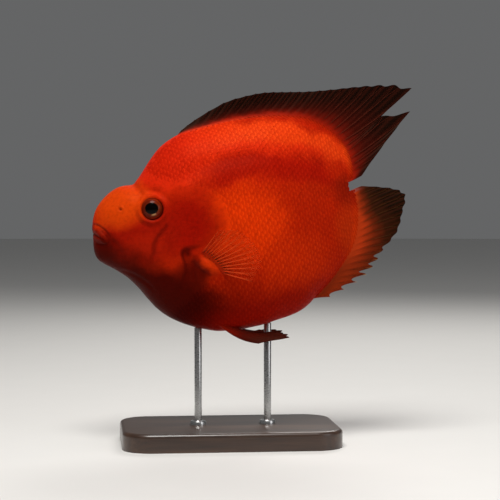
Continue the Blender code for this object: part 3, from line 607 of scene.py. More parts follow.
def relief(points):  # how far each point of the skin is raised, and how much painted shade its creases, pits and hollows get
    places = points[:, [0, 2]]
    a, h = places.T
    raised, dark = np.zeros(len(a)), np.zeros(len(a))
    form = gillForm
    edge = smoothLine(form["freeEdge"], 120)
    near = np.nonzero((a > 8) & (a < 76) & (h > -60) & (h < 24))[0]
    away, share = nearLine(places[near], edge)
    cover = np.vstack([edge, bareHead])
    inner = np.where(insideOutline(places[near], cover), away, -away)
    clear = form["faint"] + (1 - form["faint"]) * fade(share, form["clearFrom"], form["clearTo"])
    free = clear * fade(share, 0.02, 0.25) * (1 - 0.9 * fade(share, 0.62, 0.85))
    over = 0.5 + 0.5 * np.tanh(inner / form["step"])
    lifted = over * form["raise"] * np.exp(-np.maximum(inner, 0) / form["shoulder"])
    recess = bell(np.linalg.norm(places[near] - form["recess"], axis=1), form["recessWidth"])
    sunk = form["cleft"] * np.exp(np.minimum(inner, 0) / form["cleftWidth"]) + form["recessDepth"] * recess
    raised[near] += free * (lifted - (1 - over) * sunk)
    # painted shade under the gill cover's free edge and in the recess behind it
    dark[near] += free * band(inner, *form["shade"]) + (1 - over) * recess
    for line, depth, width, shadeStrength in creases:
        line = smoothLine(line, 24)
        low, high = line.min(axis=0) - 5, line.max(axis=0) + 5
        near = np.nonzero(((places > low) & (places < high)).all(axis=1))[0]
        away, share = nearLine(places[near], line)
        ends = fade(share, 0.0, 0.2) * (1 - fade(share, 0.75, 1.0)) + 0.15
        raised[near] -= depth * ends * (bell(away, width) - 0.35 * bell(away, width * 3))
        # painted shade along the crease
        dark[near] += shadeStrength * ends * bell(away, width)
    ring = np.hypot(a - eyeForm["along"], h - eyeForm["up"])
    raised += band(ring, *eyeForm["lid"]) + band(ring, *eyeForm["moat"])
    inside, outside, depth = eyeForm["socket"]
    raised -= depth * (1 - fade(ring, inside, outside))
    # painted shade ring at the edge of the eye socket
    dark += band(ring, *eyeForm["shade"])
    pit = np.hypot(a - nostril["along"], h - nostril["up"])
    raised += band(pit, *nostril["rim"]) + band(pit, *nostril["pit"])
    # painted shade in the nostril pit
    dark += band(pit, *nostril["shade"])
    lobe = lobeAway(places)
    raised += lobeForm["height"] * np.clip(1 - lobe**2, 0, 1) ** lobeForm["roundness"]
    # painted shade ring round the fleshy root of the pectoral fin
    dark += band(lobe, *lobeForm["shade"])
    waves = np.sin(a * 0.21 + h * 0.13) * np.sin(h * 0.19 - a * 0.07 + 1.0)  # uneven flesh
    raised += bodyForm["unevenness"] * (waves + 0.5 * np.sin(a * 0.47 - h * 0.39)) * fade(a, 40, 60)
    raised[(a < 1.5) & (np.abs(h) < 20)] *= 0.4  # the very front keeps the outline
    return raised, np.clip(dark, 0, 1)


def openMouth(points, dark):  # draws the skin between the lips inwards and paints shadow along the slit
    form = mouthForm
    away = points[:, 2] - (form["slitUp"] + form["slitFall"] * points[:, 0])
    ends = fade(points[:, 0], form["slitEnd"], form["slitEnd"] - 2.0)
    groove = np.clip(1 - (away / form["slitHalfHeight"]) ** 2, 0, 1) ** 2
    points[:, 0] += form["slitDepth"] * ends * groove
    # painted shadow along the mouth slit
    return np.maximum(dark, ends * bell(away, form["shadow"]))


def refineSkin(obj):  # smaller faces where the eyelids and the lips are
    shape = bmesh.new()
    shape.from_mesh(obj.data)
    chosen = set()
    for face in shape.faces:
        a, _, h = face.calc_center_median()
        atEye = math.hypot(a - eyeForm["along"], h - eyeForm["up"]) < bodyForm["eyeRefined"]
        if atEye or (a < bodyForm["mouthRefined"] and -9.5 < h < 4.5):
            chosen.update(face.edges)
    bmesh.ops.subdivide_edges(shape, edges=list(chosen), cuts=2, use_grid_fill=True)
    bmesh.ops.triangulate(shape, faces=[face for face in shape.faces if len(face.verts) > 4])
    shape.to_mesh(obj.data)
    shape.free()
    return obj


def makeSkin():
    a, h, y = bodyGrid()
    levels, around = bodyForm["levels"], bodyForm["around"]
    left = np.stack([a, -y, h], axis=-1).reshape(-1, 3)
    right = left[:levels * around] * (1, -1, 1)
    number = np.arange(len(left)).reshape(levels + 1, around)
    mirrored = number + len(left)
    mirrored[-1] = number[-1]
    faces = []
    for grid in (number, mirrored):
        following = np.roll(grid, -1, axis=1)
        quads = np.stack([grid[:-1], following[:-1], following[1:], grid[1:]], axis=-1)
        faces += quads.reshape(-1, 4).tolist()
        inner, half = grid[0].tolist(), around // 2
        for i in range(1, half - 1):
            faces.append([inner[i], inner[i + 1], inner[around - i - 1], inner[around - i]])
        faces += [[inner[0], inner[1], inner[-1]], [inner[half], inner[half + 1], inner[half - 1]]]
    obj = refineSkin(faceOutwards(newObject("skin", np.vstack([left, right]), faces)))
    points, normals = readValues(obj.data.vertices, "co"), readValues(obj.data.vertices, "normal")
    raised, dark = relief(points)
    points = swellLips(points + normals * raised[:, None])
    dark = openMouth(points, dark)
    movePoints(obj, points)
    # the painted shade of the creases, pits, hollows and mouth slit
    giveValues(obj, crease=dark * bodyForm["creaseShadeStrength"])
    return obj, points


skinObject, skinPoints = makeSkin()
skinShape = bmesh.new()
skinShape.from_mesh(skinObject.data)
skinTree = BVHTree.FromBMesh(skinShape)  # in the fish's own millimetres
skinShape.free()
movePoints(skinObject, toWorld(skinPoints))
addPiece(skinObject, skinMaterial(), ("head", "trunk", "gill_cover_left", "gill_cover_right"))
print("skin made,", len(skinObject.data.polygons), "faces")


def skinSide(a, h):  # half width of the skin at a place of the flank
    hit = skinTree.ray_cast(Vector((a, 60.0, h)), Vector((0, -1, 0)))[0]
    return hit.y if hit else 0.0


# Scales, as overlapping plates in staggered rows
scaleForm = {
    "alongPitch": 3.3, "rowPitch": 1.95, "firstColumn": 27.0, "lastColumn": 141.0,
    "plateLength": 4.5, "plateWidth": 4.6, "plateThickness": 0.08, "dome": 0.013, "tilt": 2.6,
    "tiltSpread": 0.5, "sizeSpread": 0.06, "seed": 11, "lift": 0.05, "frontLift": -0.10,
    "leastFacing": 0.42, "fullGirth": 66.0, "lobeClear": 1.3, "lengthwise": 4, "sideways": 5,
    "grownBehind": 9.0, "frontSize": 0.8, "turnedSize": 0.75, "patchSize": 0.003,
    "parting": (-7.0, 2.0, 40.0, 32.0),  # level of the middle row, its swing, where and how slowly
    "sheet": (0.02, 0.46, 125.0, 150.0),  # start and share of the map, body length and girth
    "front": [  # scales start behind this line
        (28.0, 27.0), (33.0, 20.5), (40.0, 17.0), (47.5, 15.4), (55.5, 12.4), (63.2, 6.6), (66.8, -2.8),
        (66.0, -10.8), (62.0, -17.4), (58.6, -23.0), (56.0, -28.6), (52.6, -32.6), (47.0, -36.4),
        (39.6, -41.4), (31.0, -46.8), (24.0, -50.3),
    ],
}


def onSheet(side, along, walked):  # each side has its own half of the unwrapped skin
    start, share, length, girth = scaleForm["sheet"]
    across = start + share * along / length + (0.5 if side > 0 else 0.0)
    return np.column_stack([across, 0.5 + walked / girth, np.zeros(len(along))])


def makePlate():  # one scale: root towards -x, free edge towards +x, outside up
    form = scaleForm
    row, column = form["sideways"] + 1, form["lengthwise"] + 1
    x, beside = np.repeat(np.linspace(-1, 1, column), row), np.tile(np.linspace(-1, 1, row), column)
    reach = np.sqrt(1 - np.clip(x, 0, None) ** 2.4) * (0.72 + 0.28 * np.minimum(1, (x + 1) * 1.4))
    y = beside * np.maximum(reach, 0.30)
    length, width = x * form["plateLength"] / 2, y * form["plateWidth"] / 2
    outer = np.column_stack([length, width, -form["dome"] * (width**2 + 0.5 * length**2)])
    thickness = form["plateThickness"] * (1 - 0.6 * np.maximum(np.abs(x), np.abs(beside)) ** 3)
    inner = outer - np.column_stack([0 * x, 0 * x, thickness])
    layer = row * column
    faces = []
    for p in range(layer - row):
        if (p + 1) % row:
            faces.append([p, p + row, p + row + 1, p + 1])
            faces.append([layer + p, layer + p + 1, layer + p + row + 1, layer + p + row])
    rim = [*range(row), *range(2 * row - 1, layer, row), *range(layer - 2, layer - row - 1, -1),
           *range(layer - 2 * row, 0, -row)]
    for p, q in zip(rim, rim[1:] + rim[:1]):
        faces.append([p, q, layer + q, layer + p])
    plate = faceOutwards(newObject("scalePlate", np.vstack([outer, inner]) * mm, faces))
    giveValues(plate, patch=np.tile(np.column_stack([x * 0.5, y * 0.5, 0 * x]), (2, 1)))
    return plate


def scaleRoots(side):  # places, outward directions, lie, size and unwrapped place of every scale
    form = scaleForm
    front = smoothLine(form["front"], 80)
    levels = np.arange(-67.0, 48.0, 0.4)
    partLevel, partSwing, partFrom, partLength = form["parting"]
    found = []
    for j, a in enumerate(np.arange(form["firstColumn"], form["lastColumn"], form["alongPitch"] / 2)):
        widths = np.array([skinSide(a, h) for h in levels])
        flesh = widths > 0.05
        if flesh.sum() < 12:
            continue
        section = np.column_stack([levels, widths])[flesh]
        section = np.vstack([section[0] * (1, 0), section, section[-1] * (1, 0)])
        girth = walkedLengths(section)
        start = np.interp(partLevel + partSwing * math.sin((a - partFrom) / partLength), section[:, 0], girth)
        for way, room in ((1, girth[-1] - start), (-1, start)):
            pitch = form["rowPitch"] * math.sqrt(max(room, 4.0) / form["fullGirth"])
            for k in range(0 if way > 0 else 1, int((room - 0.2) / pitch) + 1):
                if (j + k) % 2 == 0:
                    walked = way * k * pitch
                    level, width = lookUp(start + walked, girth, section)
                    found.append((a, level, width, pitch / form["rowPitch"], walked))
    found = np.array(found)
    places = found[:, :2]
    clear = lobeAway(places) > form["lobeClear"]
    found = found[clear & ~insideOutline(places, np.vstack([front, bareHead]))]
    centres, rises, lies, facing = [], [], [], []
    for a, h, y, _, _ in found:
        point, normal = skinTree.find_nearest(Vector((a, side * y, h)))[:2]
        facing.append(abs(normal.y) > form["leastFacing"])
        tailward = Vector((1.0, 0.0, 0.10 * math.sin(a * 0.05)))
        lies.append((tailward - normal * tailward.dot(normal)).normalized())
        centres.append(point)
        rises.append(normal)
    rises = np.array(rises)
    behind = fade(nearLine(found[:, :2], front)[0], 0.0, form["grownBehind"])
    sizes = found[:, 3] * (form["frontSize"] + (1 - form["frontSize"]) * behind)
    sizes *= form["turnedSize"] + (1 - form["turnedSize"]) * fade(np.abs(rises)[:, 1], 0.4, 0.75)
    lift = form["frontLift"] + (form["lift"] - form["frontLift"]) * behind
    centres = np.array(centres) + rises * lift[:, None]
    unwrapped = onSheet(side, found[:, 0] - 20.0, found[:, 4])
    return [values[facing] for values in (centres, rises, np.array(lies), sizes, unwrapped)]


def growScales(nodes, given):
    def chance(extra):
        seed = nodes.number("ADD", given("Seed"), extra)
        return nodes.add("FunctionNodeRandomValue", {2: -1.0, 3: 1.0, "Seed": seed}, data_type="FLOAT").out(1)

    def aligned(rotation, name, **settings):
        values = {**rotation, "Vector": nodes.named(name, "FLOAT_VECTOR")}
        return nodes.add("FunctionNodeAlignRotationToVector", values, **settings).out()

    standing = aligned({}, "rise", axis="Z")
    lying = aligned({"Rotation": standing}, "lie", axis="X", pivot_axis="Z")
    lift = given("Tilt") + chance(1) * given("Tilt Spread")
    turn = nodes.add("ShaderNodeCombineXYZ", {1: 0.0 - lift}).out()
    tipped = nodes.add("FunctionNodeRotateRotation", {0: lying, 1: turn}, rotation_space="LOCAL")
    size = nodes.named("size") * (chance(2) * given("Size Spread") + 1.0)
    plate = nodes.add("GeometryNodeObjectInfo", {"Object": given("Plate"), "As Instance": True})
    return nodes.add("GeometryNodeInstanceOnPoints", {
        "Points": given("Geometry"), "Instance": plate.out("Geometry"),
        "Rotation": tipped.out(), "Scale": size,
    }).out()


def layScales(name, centres, rises, lies, sizes, unwrapped, dusk=0.0):
    form, material = scaleForm, scaleFinish
    roots = newObject(name, toWorld(centres), [])
    tint = np.random.default_rng(form["seed"]).random(len(sizes))
    giveValues(roots, dusk=np.zeros(len(sizes)) + dusk, rise=turnToWorld(rises), lie=turnToWorld(lies),
               size=sizes, rootPlace=unwrapped, tint=tint)
    coat = bakeNodes(roots, laying, {
        "Plate": plate, "Tilt": math.radians(form["tilt"]), "Tilt Spread": math.radians(form["tiltSpread"]),
        "Size Spread": form["sizeSpread"], "Seed": form["seed"], "Material": material,
    })
    bakeMap(coat)
    addPiece(coat, material, sharpFrom=40)
    print(coat.name, len(sizes), "scales,", len(coat.data.loop_triangles), "triangles")


def makeScales():
    for label, side in bothSides.items():
        found = scaleRoots(side)
        upper = found[0][:, 2] >= scaleForm["parting"][0]
        for part, chosen in (("upper", upper), ("lower", ~upper)):
            layScales(f"scales_{part}_{label}", *(values[chosen] for values in found))


def bakeMap(coat):  # each scale is a small patch at its root's place on the unwrapped skin
    places, patch = (readValues(coat.data.attributes[name].data, "vector") for name in ("rootPlace", "patch"))
    flat = (places + scaleForm["patchSize"] * patch)[:, :2].astype(np.float32)
    corners = readValues(coat.data.loops, "vertex_index", 1, int)
    coat.data.uv_layers.new(name="OFBake").data.foreach_set("uv", flat[corners].ravel())


# Fins: a thin pleated web, thickening into the flesh, with swept rays through it
finForms = {
    "dorsal": {
        "rays": 28, "rootFrom": 129.0, "rootTo": 2.6, "squeeze": 0.22, "curl": -0.03, "wave": 1.0,
        "tips": {0: (57.0, 46.2), 2: (64.8, 50.4), 4: (81.6, 56.9), 6: (94.4, 58.7), 8: (105.0, 58.9),
                 10: (114.4, 57.7), 13: (129.1, 55.6), 15: (140.9, 54.6), 17: (153.5, 53.9),
                 19: (168.0, 52.8), 20: (176.5, 51.6), 21: (186.0, 48.2), 22: (168.4, 37.4),
                 23: (167.2, 35.8), 24: (182.8, 35.8), 25: (172.0, 26.4), 26: (161.6, 16.8),
                 27: (150.0, 5.4)},
        "spines": (0, 16), "notch": (0.012, 0.04, 17.0, 22.0), "rayRadius": 0.48,
        "scaled": (0.8, 3.6), "dusky": 0.6,
    },
    "anal": {
        "rays": 17, "rootFrom": 3.0, "rootTo": 70.0, "squeeze": 0.0, "curl": 0.03, "wave": 0.8,
        "tips": {0: (149.4, -0.4), 2: (164.4, -3.8), 4: (172.6, -8.8), 6: (169.2, -18.4), 8: (164.4, -28.6),
                 10: (155.0, -37.2), 11: (151.6, -41.4), 12: (148.0, -45.2), 14: (137.6, -51.8),
                 16: (121.6, -57.2)},
        "spines": (13, 17), "notch": (0.02, 0.2, 8.0, 12.0), "rayRadius": 0.45,
        "scaled": (3.2, 1.3), "dusky": 0.2,
    },
    "pectoral": {
        "rays": 13, "roots": [(52.6, -22.6), (61.0, -31.4)], "splay": 12.5, "bow": 1.6, "sunk": 1.2,
        "tips": {0: (65.2, -9.4), 3: (75.0, -11.2), 6: (82.4, -19.4), 9: (84.6, -29.6), 12: (78.0, -39.4)},
        "spines": (0, 1), "notch": (0.02, 0.03, 4.0, 9.0), "rayRadius": 0.42, "rootGirth": 1.0, "web": 0.16,
    },
    "pelvic": {
        "rays": 6, "roots": [(57.0, 9.2, -59.4), (66.0, 4.8, -62.6)], "sag": 2.6,
        "tips": {0: (77.5, 13.4, -74.2), 1: (94.6, 13.2, -74.0), 2: (94.2, 12.0, -72.2),
                 3: (90.6, 10.6, -70.8), 4: (86.4, 9.2, -69.6), 5: (81.0, 8.0, -68.8)},
        "spines": (0, 1), "notch": (0.03, 0.06, 1.0, 3.0), "rayRadius": 0.40, "rootGirth": 2.2, "web": 0.3,
    },
}
finBuild = {
    "rootDepth": 2.2, "girthLimit": 6.0, "rootFall": 3.0, "web": 0.26, "pleat": 0.16, "waveTurn": 0.62,
    "waveStart": 0.6, "waveGrowth": 1.6, "perRay": 8, "rows": 44, "fork": 0.45, "secondFork": 0.74,
    "spread": 0.2, "secondSpread": 0.08, "jointSwell": 0.1, "step": 1.0, "raySides": 8,
    "spineTaper": 0.75, "rayTaper": 0.42, "branchTaper": 0.55, "branchGirths": (0.5, 0.36),
    "branchEnd": 0.975,
}


def keyCurve(keys, count):  # values for every ray through the given ones
    numbers = sorted(keys)
    rows = np.array([keys[n] for n in numbers], float)
    slope = np.gradient(rows, numbers, axis=0)
    values = np.zeros((count, rows.shape[1]))
    for n in range(count):
        i = min(max(np.searchsorted(numbers, n, side="right") - 1, 0), len(numbers) - 2)
        span = numbers[i + 1] - numbers[i]
        t = (n - numbers[i]) / span
        values[n] = ((2 * t**3 - 3 * t**2 + 1) * rows[i] + (t**3 - 2 * t**2 + t) * span * slope[i]
                     + (3 * t**2 - 2 * t**3) * rows[i + 1] + (t**3 - t**2) * span * slope[i + 1])
    return values


class Fin:  # a fin's middle surface by ray number and share of the ray's length
    def __init__(self, kind, side):  # side is 0 in the middle
        self.kind, self.form, self.side = kind, finForms[kind], side
        self.count = self.form["rays"]
        self.numbers = np.arange(self.count)
        self.tips = keyCurve(self.form["tips"], self.count)
        self.median = side == 0
        if self.median:
            self.across = np.array([0.0, 1.0, 0.0])
            self.roots = self.medianRoots(backWalk if kind == "dorsal" else bellyWalk)
            widths = np.array([2 * skinSide(*root) for root in self.roots])
            self.girths = np.clip(widths * 0.9, 0.8, finBuild["girthLimit"])
        else:
            share = (self.numbers / (self.count - 1))[:, None]
            first, last = np.array(self.form["roots"])
            self.roots = first + (last - first) * share
            self.girths = np.full(self.count, self.form["rootGirth"])
            self.across = np.array([0.28, side * 0.5, 0.82])
        if kind == "pectoral":
            self.across = np.array([-0.38, side * 0.92, 0.0])
            self.flanks = np.array([skinSide(*root) for root in self.roots]) - lobeForm["height"]

    def medianRoots(self, walk):
        form = self.form
        share = crowd(self.count, form["squeeze"])
        distances = form["rootFrom"] + (form["rootTo"] - form["rootFrom"]) * share
        edge, ahead = (lookUp(d, walkedLengths(walk), walk) for d in (distances, distances + 0.5))
        ahead = unit(ahead - edge) * (1 if walk is backWalk else -1)
        self.outline = walk[::8]
        return edge + finBuild["rootDepth"] * np.column_stack([-ahead[:, 1], ahead[:, 0]])

    def pick(self, rows, place):
        return lookUp(place, self.numbers, rows.reshape(self.count, -1))

    def middle(self, place, r):  # both arrays of the same length
        place, r = np.broadcast_arrays(np.asarray(place, float), np.asarray(r, float))
        roots, run = self.pick(self.roots, place), self.pick(self.tips - self.roots, place)
        point = roots + run * r[..., None]
        arc = np.sin(np.pi * r)
        if self.kind == "pelvic":
            point = point - np.stack([0 * r, 0 * r, self.form["sag"] * arc], axis=-1)
            return point * (1, self.side, 1)
        if self.kind == "pectoral":
            out = self.pick(self.flanks, place)[..., 0] - self.form["sunk"]
            out = self.side * (out + self.form["splay"] * r + self.form["bow"] * arc)
        else:
            curl = (self.form["curl"] * arc)[..., None]
            point = point + np.stack([-run[..., 1], run[..., 0]], axis=-1) * curl
            turn = place * finBuild["waveTurn"] + finBuild["waveStart"]
            out = self.form["wave"] * np.clip(r, 0, None) ** finBuild["waveGrowth"] * np.sin(turn)
        return np.stack([point[..., 0], out, point[..., 1]], axis=-1)

    def length(self, place):
        return np.linalg.norm(self.middle(place, 1.0) - self.middle(place, 0.0), axis=-1)

    def outward(self, place, r, points):  # how far a point stands out of the flesh
        walked = np.asarray(r) * self.length(place)
        if not self.median:
            return walked - finBuild["rootDepth"]
        away = nearLine(points[:, [0, 2]], self.outline)[0]
        return np.where(insideOutline(points[:, [0, 2]], fleshOutline), -away, away)

    def edge(self, place):  # the share of its length that the web reaches
        place = np.asarray(place, float)
        between, number = place % 1.0, np.floor(place)
        least, most, low, high = self.form["notch"]
        notch = least + (most - least) * fade(place, low, high)
        fray = 0.75 + 0.5 * ((np.sin(number * 12.9898) * 437.585) % 1.0)
        first, last = self.form["spines"]
        power = np.where((number >= first) & (number < last), 0.9, 2.6)
        return 0.99 - notch * fray * np.sin(np.pi * between) ** power

    def face(self, place, r, side, points=None):  # a point of one face of the web
        points = self.middle(place, r) if points is None else points
        outward = self.outward(place, r, points)
        thick = self.form.get("web", finBuild["web"]) * (1 - 0.6 * fade(r / self.edge(place), 0.92, 1.0))
        sunk = np.clip(outward + finBuild["rootDepth"], 0, None)
        thick = thick + self.pick(self.girths, place)[..., 0] * np.exp(-sunk / finBuild["rootFall"])
        pleat = finBuild["pleat"] * np.sin(2 * np.pi * place) * fade(outward, 1.0, 6.0)
        return points + self.across * (pleat + side * thick / 2)[..., None], outward


def makeWeb(name, fin):
    columns = np.linspace(0, fin.count - 1, (fin.count - 1) * finBuild["perRay"] + 1)
    rows = finBuild["rows"]
    place = np.repeat(columns, rows + 1)
    r = np.tile(np.linspace(0, 1, rows + 1), len(columns)) * fin.edge(place)
    points = fin.middle(place, r)
    lower, outward = fin.face(place, r, -1, points)
    upper, _ = fin.face(place, r, 1, points)
    vertices = np.stack([lower, upper], axis=1).reshape(-1, 3)
    tall, last, faces = 2 * (rows + 1), len(columns) - 1, []
    for c in range(last):
        for row in range(rows):
            p, q = c * tall + 2 * row, (c + 1) * tall + 2 * row
            faces += [[p, q, q + 2], [p, q + 2, p + 2], [q + 1, p + 1, q + 3], [q + 3, p + 1, p + 3]]
        for p, q in ((c * tall, (c + 1) * tall), (c * tall + 2 * rows, (c + 1) * tall + 2 * rows)):
            faces.append([p, q, q + 1, p + 1])
    for c in (0, last):
        for row in range(rows):
            p = c * tall + 2 * row
            faces.append([p, p + 2, p + 3, p + 1])
    web = faceOutwards(newObject(name, toWorld(vertices), faces))
    giveValues(web, reach=np.repeat(r, 2), outward=np.repeat(outward, 2), ray=np.repeat(place, 2))
    return web


def growRays(nodes, given):
    paths = nodes.add("GeometryNodeMeshToCurve", {0: given("Geometry")}).out()
    circle = {"Resolution": given("Sides"), "Radius": 1.0}
    profile = nodes.add("GeometryNodeCurvePrimitiveCircle", circle).out()
    return nodes.add("GeometryNodeCurveToMesh", {
        "Curve": paths, "Profile Curve": profile, "Scale": nodes.named("girth"), "Fill Caps": True,
    }).out()


def makeRays(name, fin, material):
    build, radius, step = finBuild, fin.form["rayRadius"], finBuild["step"]
    points, girths, places, shares, edges = [], [], [], [], []

    def path(place, r, thickness):  # thickness is a share of the ray's at its root
        first = len(points)
        swell = 1 + build["jointSwell"] * (np.arange(len(r)) % 2) * (r > 0.25) * (not spine)
        place = place + np.zeros(len(r))
        points.extend(fin.middle(place, r))
        girths.extend(radius * thickness * swell * mm)
        places.extend(place)
        shares.extend(r)
        edges.extend((first + i, first + i + 1) for i in range(len(r) - 1))

    for ray in range(fin.count):
        spine = fin.form["spines"][0] <= ray < fin.form["spines"][1]
        length = float(fin.length(float(ray)))
        if spine:
            r = np.linspace(0, 1, max(8, int(length / step)))
            path(ray, r, 1 - build["spineTaper"] * r)
            continue
        fork, second = build["fork"], build["secondFork"]
        r = np.linspace(0, fork, max(6, int(length * fork / step)))
        path(ray, r, 1 - build["rayTaper"] * r / fork)
        for way in (-1, 1):
            for start, slope, thickness in zip((fork - 0.01, second), (-1, 1), build["branchGirths"]):
                r = np.linspace(start, build["branchEnd"], max(5, int(length * (1 - start) / step)))
                drift = way * build["spread"] * (r - fork) / (1 - fork)
                drift = drift + slope * build["secondSpread"] * fade(r, second, 1.0) * 2
                place = np.clip(ray + drift, 0, fin.count - 1)
                r = np.minimum(r, fin.edge(place) - 0.008)
                path(place, r, thickness * (1.0 - build["branchTaper"] * fade(r, fork, 1.0)))
    rays = newObject(name, toWorld(points), [], edges)
    outward = fin.outward(np.array(places), np.array(shares), np.array(points))
    giveValues(rays, girth=girths, reach=shares, outward=outward, ray=places)
    return bakeNodes(rays, sweepRays, {"Sides": build["raySides"], "Material": material})


finColours = {
    "glow": (0.28, 0.0080, 0.0015), "red": (0.095, 0.0030, 0.0009), "maroon": (0.034, 0.0016, 0.0006),
    "dark": (0.009, 0.0010, 0.0005), "edge": (0.0036, 0.0008, 0.0004), "orange": (0.38, 0.030, 0.004),
    "rust": (0.12, 0.012, 0.002), "olive": (0.024, 0.0055, 0.0012), "umber": (0.005, 0.0020, 0.0005),
    "ray": (0.075, 0.0095, 0.0045), "oliveRay": (0.060, 0.018, 0.0036), "clearRay": (0.68, 0.078, 0.016),
    # tip is a painted highlight on the pale ends of the anal rays; rim is a painted highlight along the anal
    # fin's top edge
    "clear": (0.44, 0.020, 0.0026), "tip": (0.42, 0.22, 0.07), "rim": (0.20, 0.060, 0.055),
}
finLooks = {  # the ramp holds the distance out of the flesh in tenths of a metre, and the colour there
    "dorsal": {"ramp": [(0.0, "glow"), (0.012, "glow"), (0.038, "red"), (0.07, "maroon"), (0.16, "dark"),
                        (0.30, "edge")], "edged": 0.9, "rays": "ray", "streak": 0.2, "thin": 0.02},
    "anal": {"ramp": [(0.0, "orange"), (0.04, "orange"), (0.10, "rust"), (0.15, "olive"), (0.24, "umber")],
             "edged": 0.0, "rays": "oliveRay", "streak": 0.2, "thin": 0.02},
    "pectoral": {"ramp": [(0.0, "glow"), (0.08, "clear"), (0.3, "clear")],
                 "edged": 0.0, "rays": "clearRay", "streak": 0.0, "thin": 0.82},
    "pelvic": {"ramp": [(0.0, "glow"), (0.12, "red"), (0.4, "maroon")],
               "edged": 0.5, "rays": "ray", "streak": 0.2, "thin": 0.02},
}

finSurface = {"shine": 0.08, "shineTint": (1.0, 0.5, 0.3, 1.0), "grain": 1.3, "patches": 0.16,
              "patchiness": 0.04, "relief": (0.3, 0.0002), "roughness": (0.42, 0.2)}


def finMaterial(kind, rays):
    surface = finSurface
    fixed = {"Specular IOR Level": surface["shine"], "Specular Tint": surface["shineTint"]}
    material, nodes = newMaterial(kind + ("Rays" if rays else "Web"), fixed)
    look, colours, between, mix = finLooks[kind], finColours, nodes.between, nodes.mixColour
    reach, outward, ray = (nodes.stored(name) for name in ("reach", "outward", "ray"))
    flesh, places = nodes.fleshColour(), nodes.fishPlaces()
    fine = nodes.noise(places, surface["grain"])
    depth = outward * 0.01 + (nodes.noise(places, surface["patches"]) - 0.5) * surface["patchiness"]
    if kind == "dorsal":  # the glow is narrower in front
        depth = depth * (2.2 - 1.65 * between(ray, 3.0, 19.0))
    if kind == "anal":  # the orange reaches less far on the first rays, at the rear notch
        depth = depth * (0.85 + 0.7 * between(ray, 8.0, 1.0))
    colour = nodes.ramp(depth, [(place, colours[name]) for place, name in look["ramp"]])
    if look["edged"]:
        colour = mix(between(reach, 0.35, 0.8) * look["edged"], colour, colours["edge"])
    if kind == "anal":
        colour = mix(between(ray, 8.0, 12.0) * 0.6, colour, colours["rust"])
    if kind == "pectoral":
        colour = mix(0.7 - 0.25 * rays, colour, flesh)
    if rays:
        colour = mix(between(outward, 1.0, 7.0) * 0.6, colour, colours[look["rays"]])
        if kind == "anal":
            # painted highlight on the pale ends of the lower anal rays
            colour = mix(between(reach, 0.84, 0.97) * between(ray, 9.0, 12.0), colour, colours["tip"])
    elif look["streak"]:
        streak = nodes.number("COSINE", ray * (4 * math.pi) + fine * 2.0) * 0.5 + 0.5
        colour = mix(streak ** 2.0 * look["streak"] * between(outward, 1.0, 6.0), colour, colours["ray"])
    if kind == "anal":  # painted highlight along the pale top edge at the rear notch
        colour = mix(between(ray, 0.6, 0.15) * between(reach, 0.95, 0.35), colour, colours["rim"])
    colour = mix(between(outward, 1.0, -0.6), colour, flesh)
    least, more = surface["roughness"]
    nodes.feed(Base_Color=colour, Roughness=fine * more + least, Normal=nodes.bump(fine, *surface["relief"]))
    if not rays:
        nodes.feed(Alpha=1.0 - between(outward, 1.0, 6.0) * look["thin"])
    elif kind == "pectoral":
        nodes.feed(Alpha=0.85 - between(reach, 0.6, 1.0) * 0.5)
    return material


finBase = {"along": 1.3, "outward": 1.25, "first": 1.3, "rows": 12, "size": 0.6, "shrink": 0.34, "lift": 0.03}


def makeFinBase(fin):  # small scales that run out from the body over the fin's root
    build = finBase
    span = abs(fin.form["rootFrom"] - fin.form["rootTo"])
    near, far = fin.form["scaled"]
    picked = []
    for j, place in enumerate(np.arange(0.2, fin.count - 1.2, build["along"] * (fin.count - 1) / span)):
        length = float(fin.length(place))
        room = near + (far - near) * place / fin.count
        for k in range(build["rows"]):
            walked = build["first"] + (k + 0.5 * (j % 2)) * build["outward"]
            out = walked - finBuild["rootDepth"]
            if out < room and walked < 0.5 * length:
                picked.append((place, walked / length, max(out, 0.0) / room))
    place, r, out = np.array(picked).T
    laid = []
    for side in bothSides.values():
        here = fin.face(place, r, side)[0]
        lie = unit(fin.face(place, r + 0.01, side)[0] - here)
        rise = unit(np.cross(lie, fin.face(place + 0.05, r, side)[0] - here))
        rise *= np.sign(rise[:, 1:2] * side)
        unwrapped = onSheet(side, here[:, 0] - 40.0, here[:, 2])
        sizes = build["size"] - build["shrink"] * out
        laid.append([here + rise * build["lift"], rise, lie, sizes, unwrapped, out * fin.form["dusky"]])
    layScales(f"scales_{fin.kind}_root", *(np.concatenate(part) for part in zip(*laid)))


def makeFins():
    for kind, form in finForms.items():
        web, material = finMaterial(kind, False), finMaterial(kind, True)
        median = "scaled" in form
        for label, side in ({"": 0} if median else bothSides).items():
            fin, ending = Fin(kind, side), label and "_" + label
            addPiece(makeWeb(f"{kind}_web{ending}", fin), web, (f"{kind}_fin{ending}",), 50)
            addPiece(makeRays(f"{kind}_rays{ending}", fin, material), material)
        if median:
            makeFinBase(fin)
        print(kind, "fin made")


laying = growthTree("layScales", {
    "Plate": "Object", "Tilt": "Float", "Tilt Spread": "Float", "Size Spread": "Float", "Seed": "Int",
}, growScales)
sweepRays = growthTree("sweepRays", {"Sides": "Int"}, growRays)
plate, scaleFinish = makePlate(), scaleMaterial()
makeScales()
makeFins()
bpy.data.objects.remove(plate)


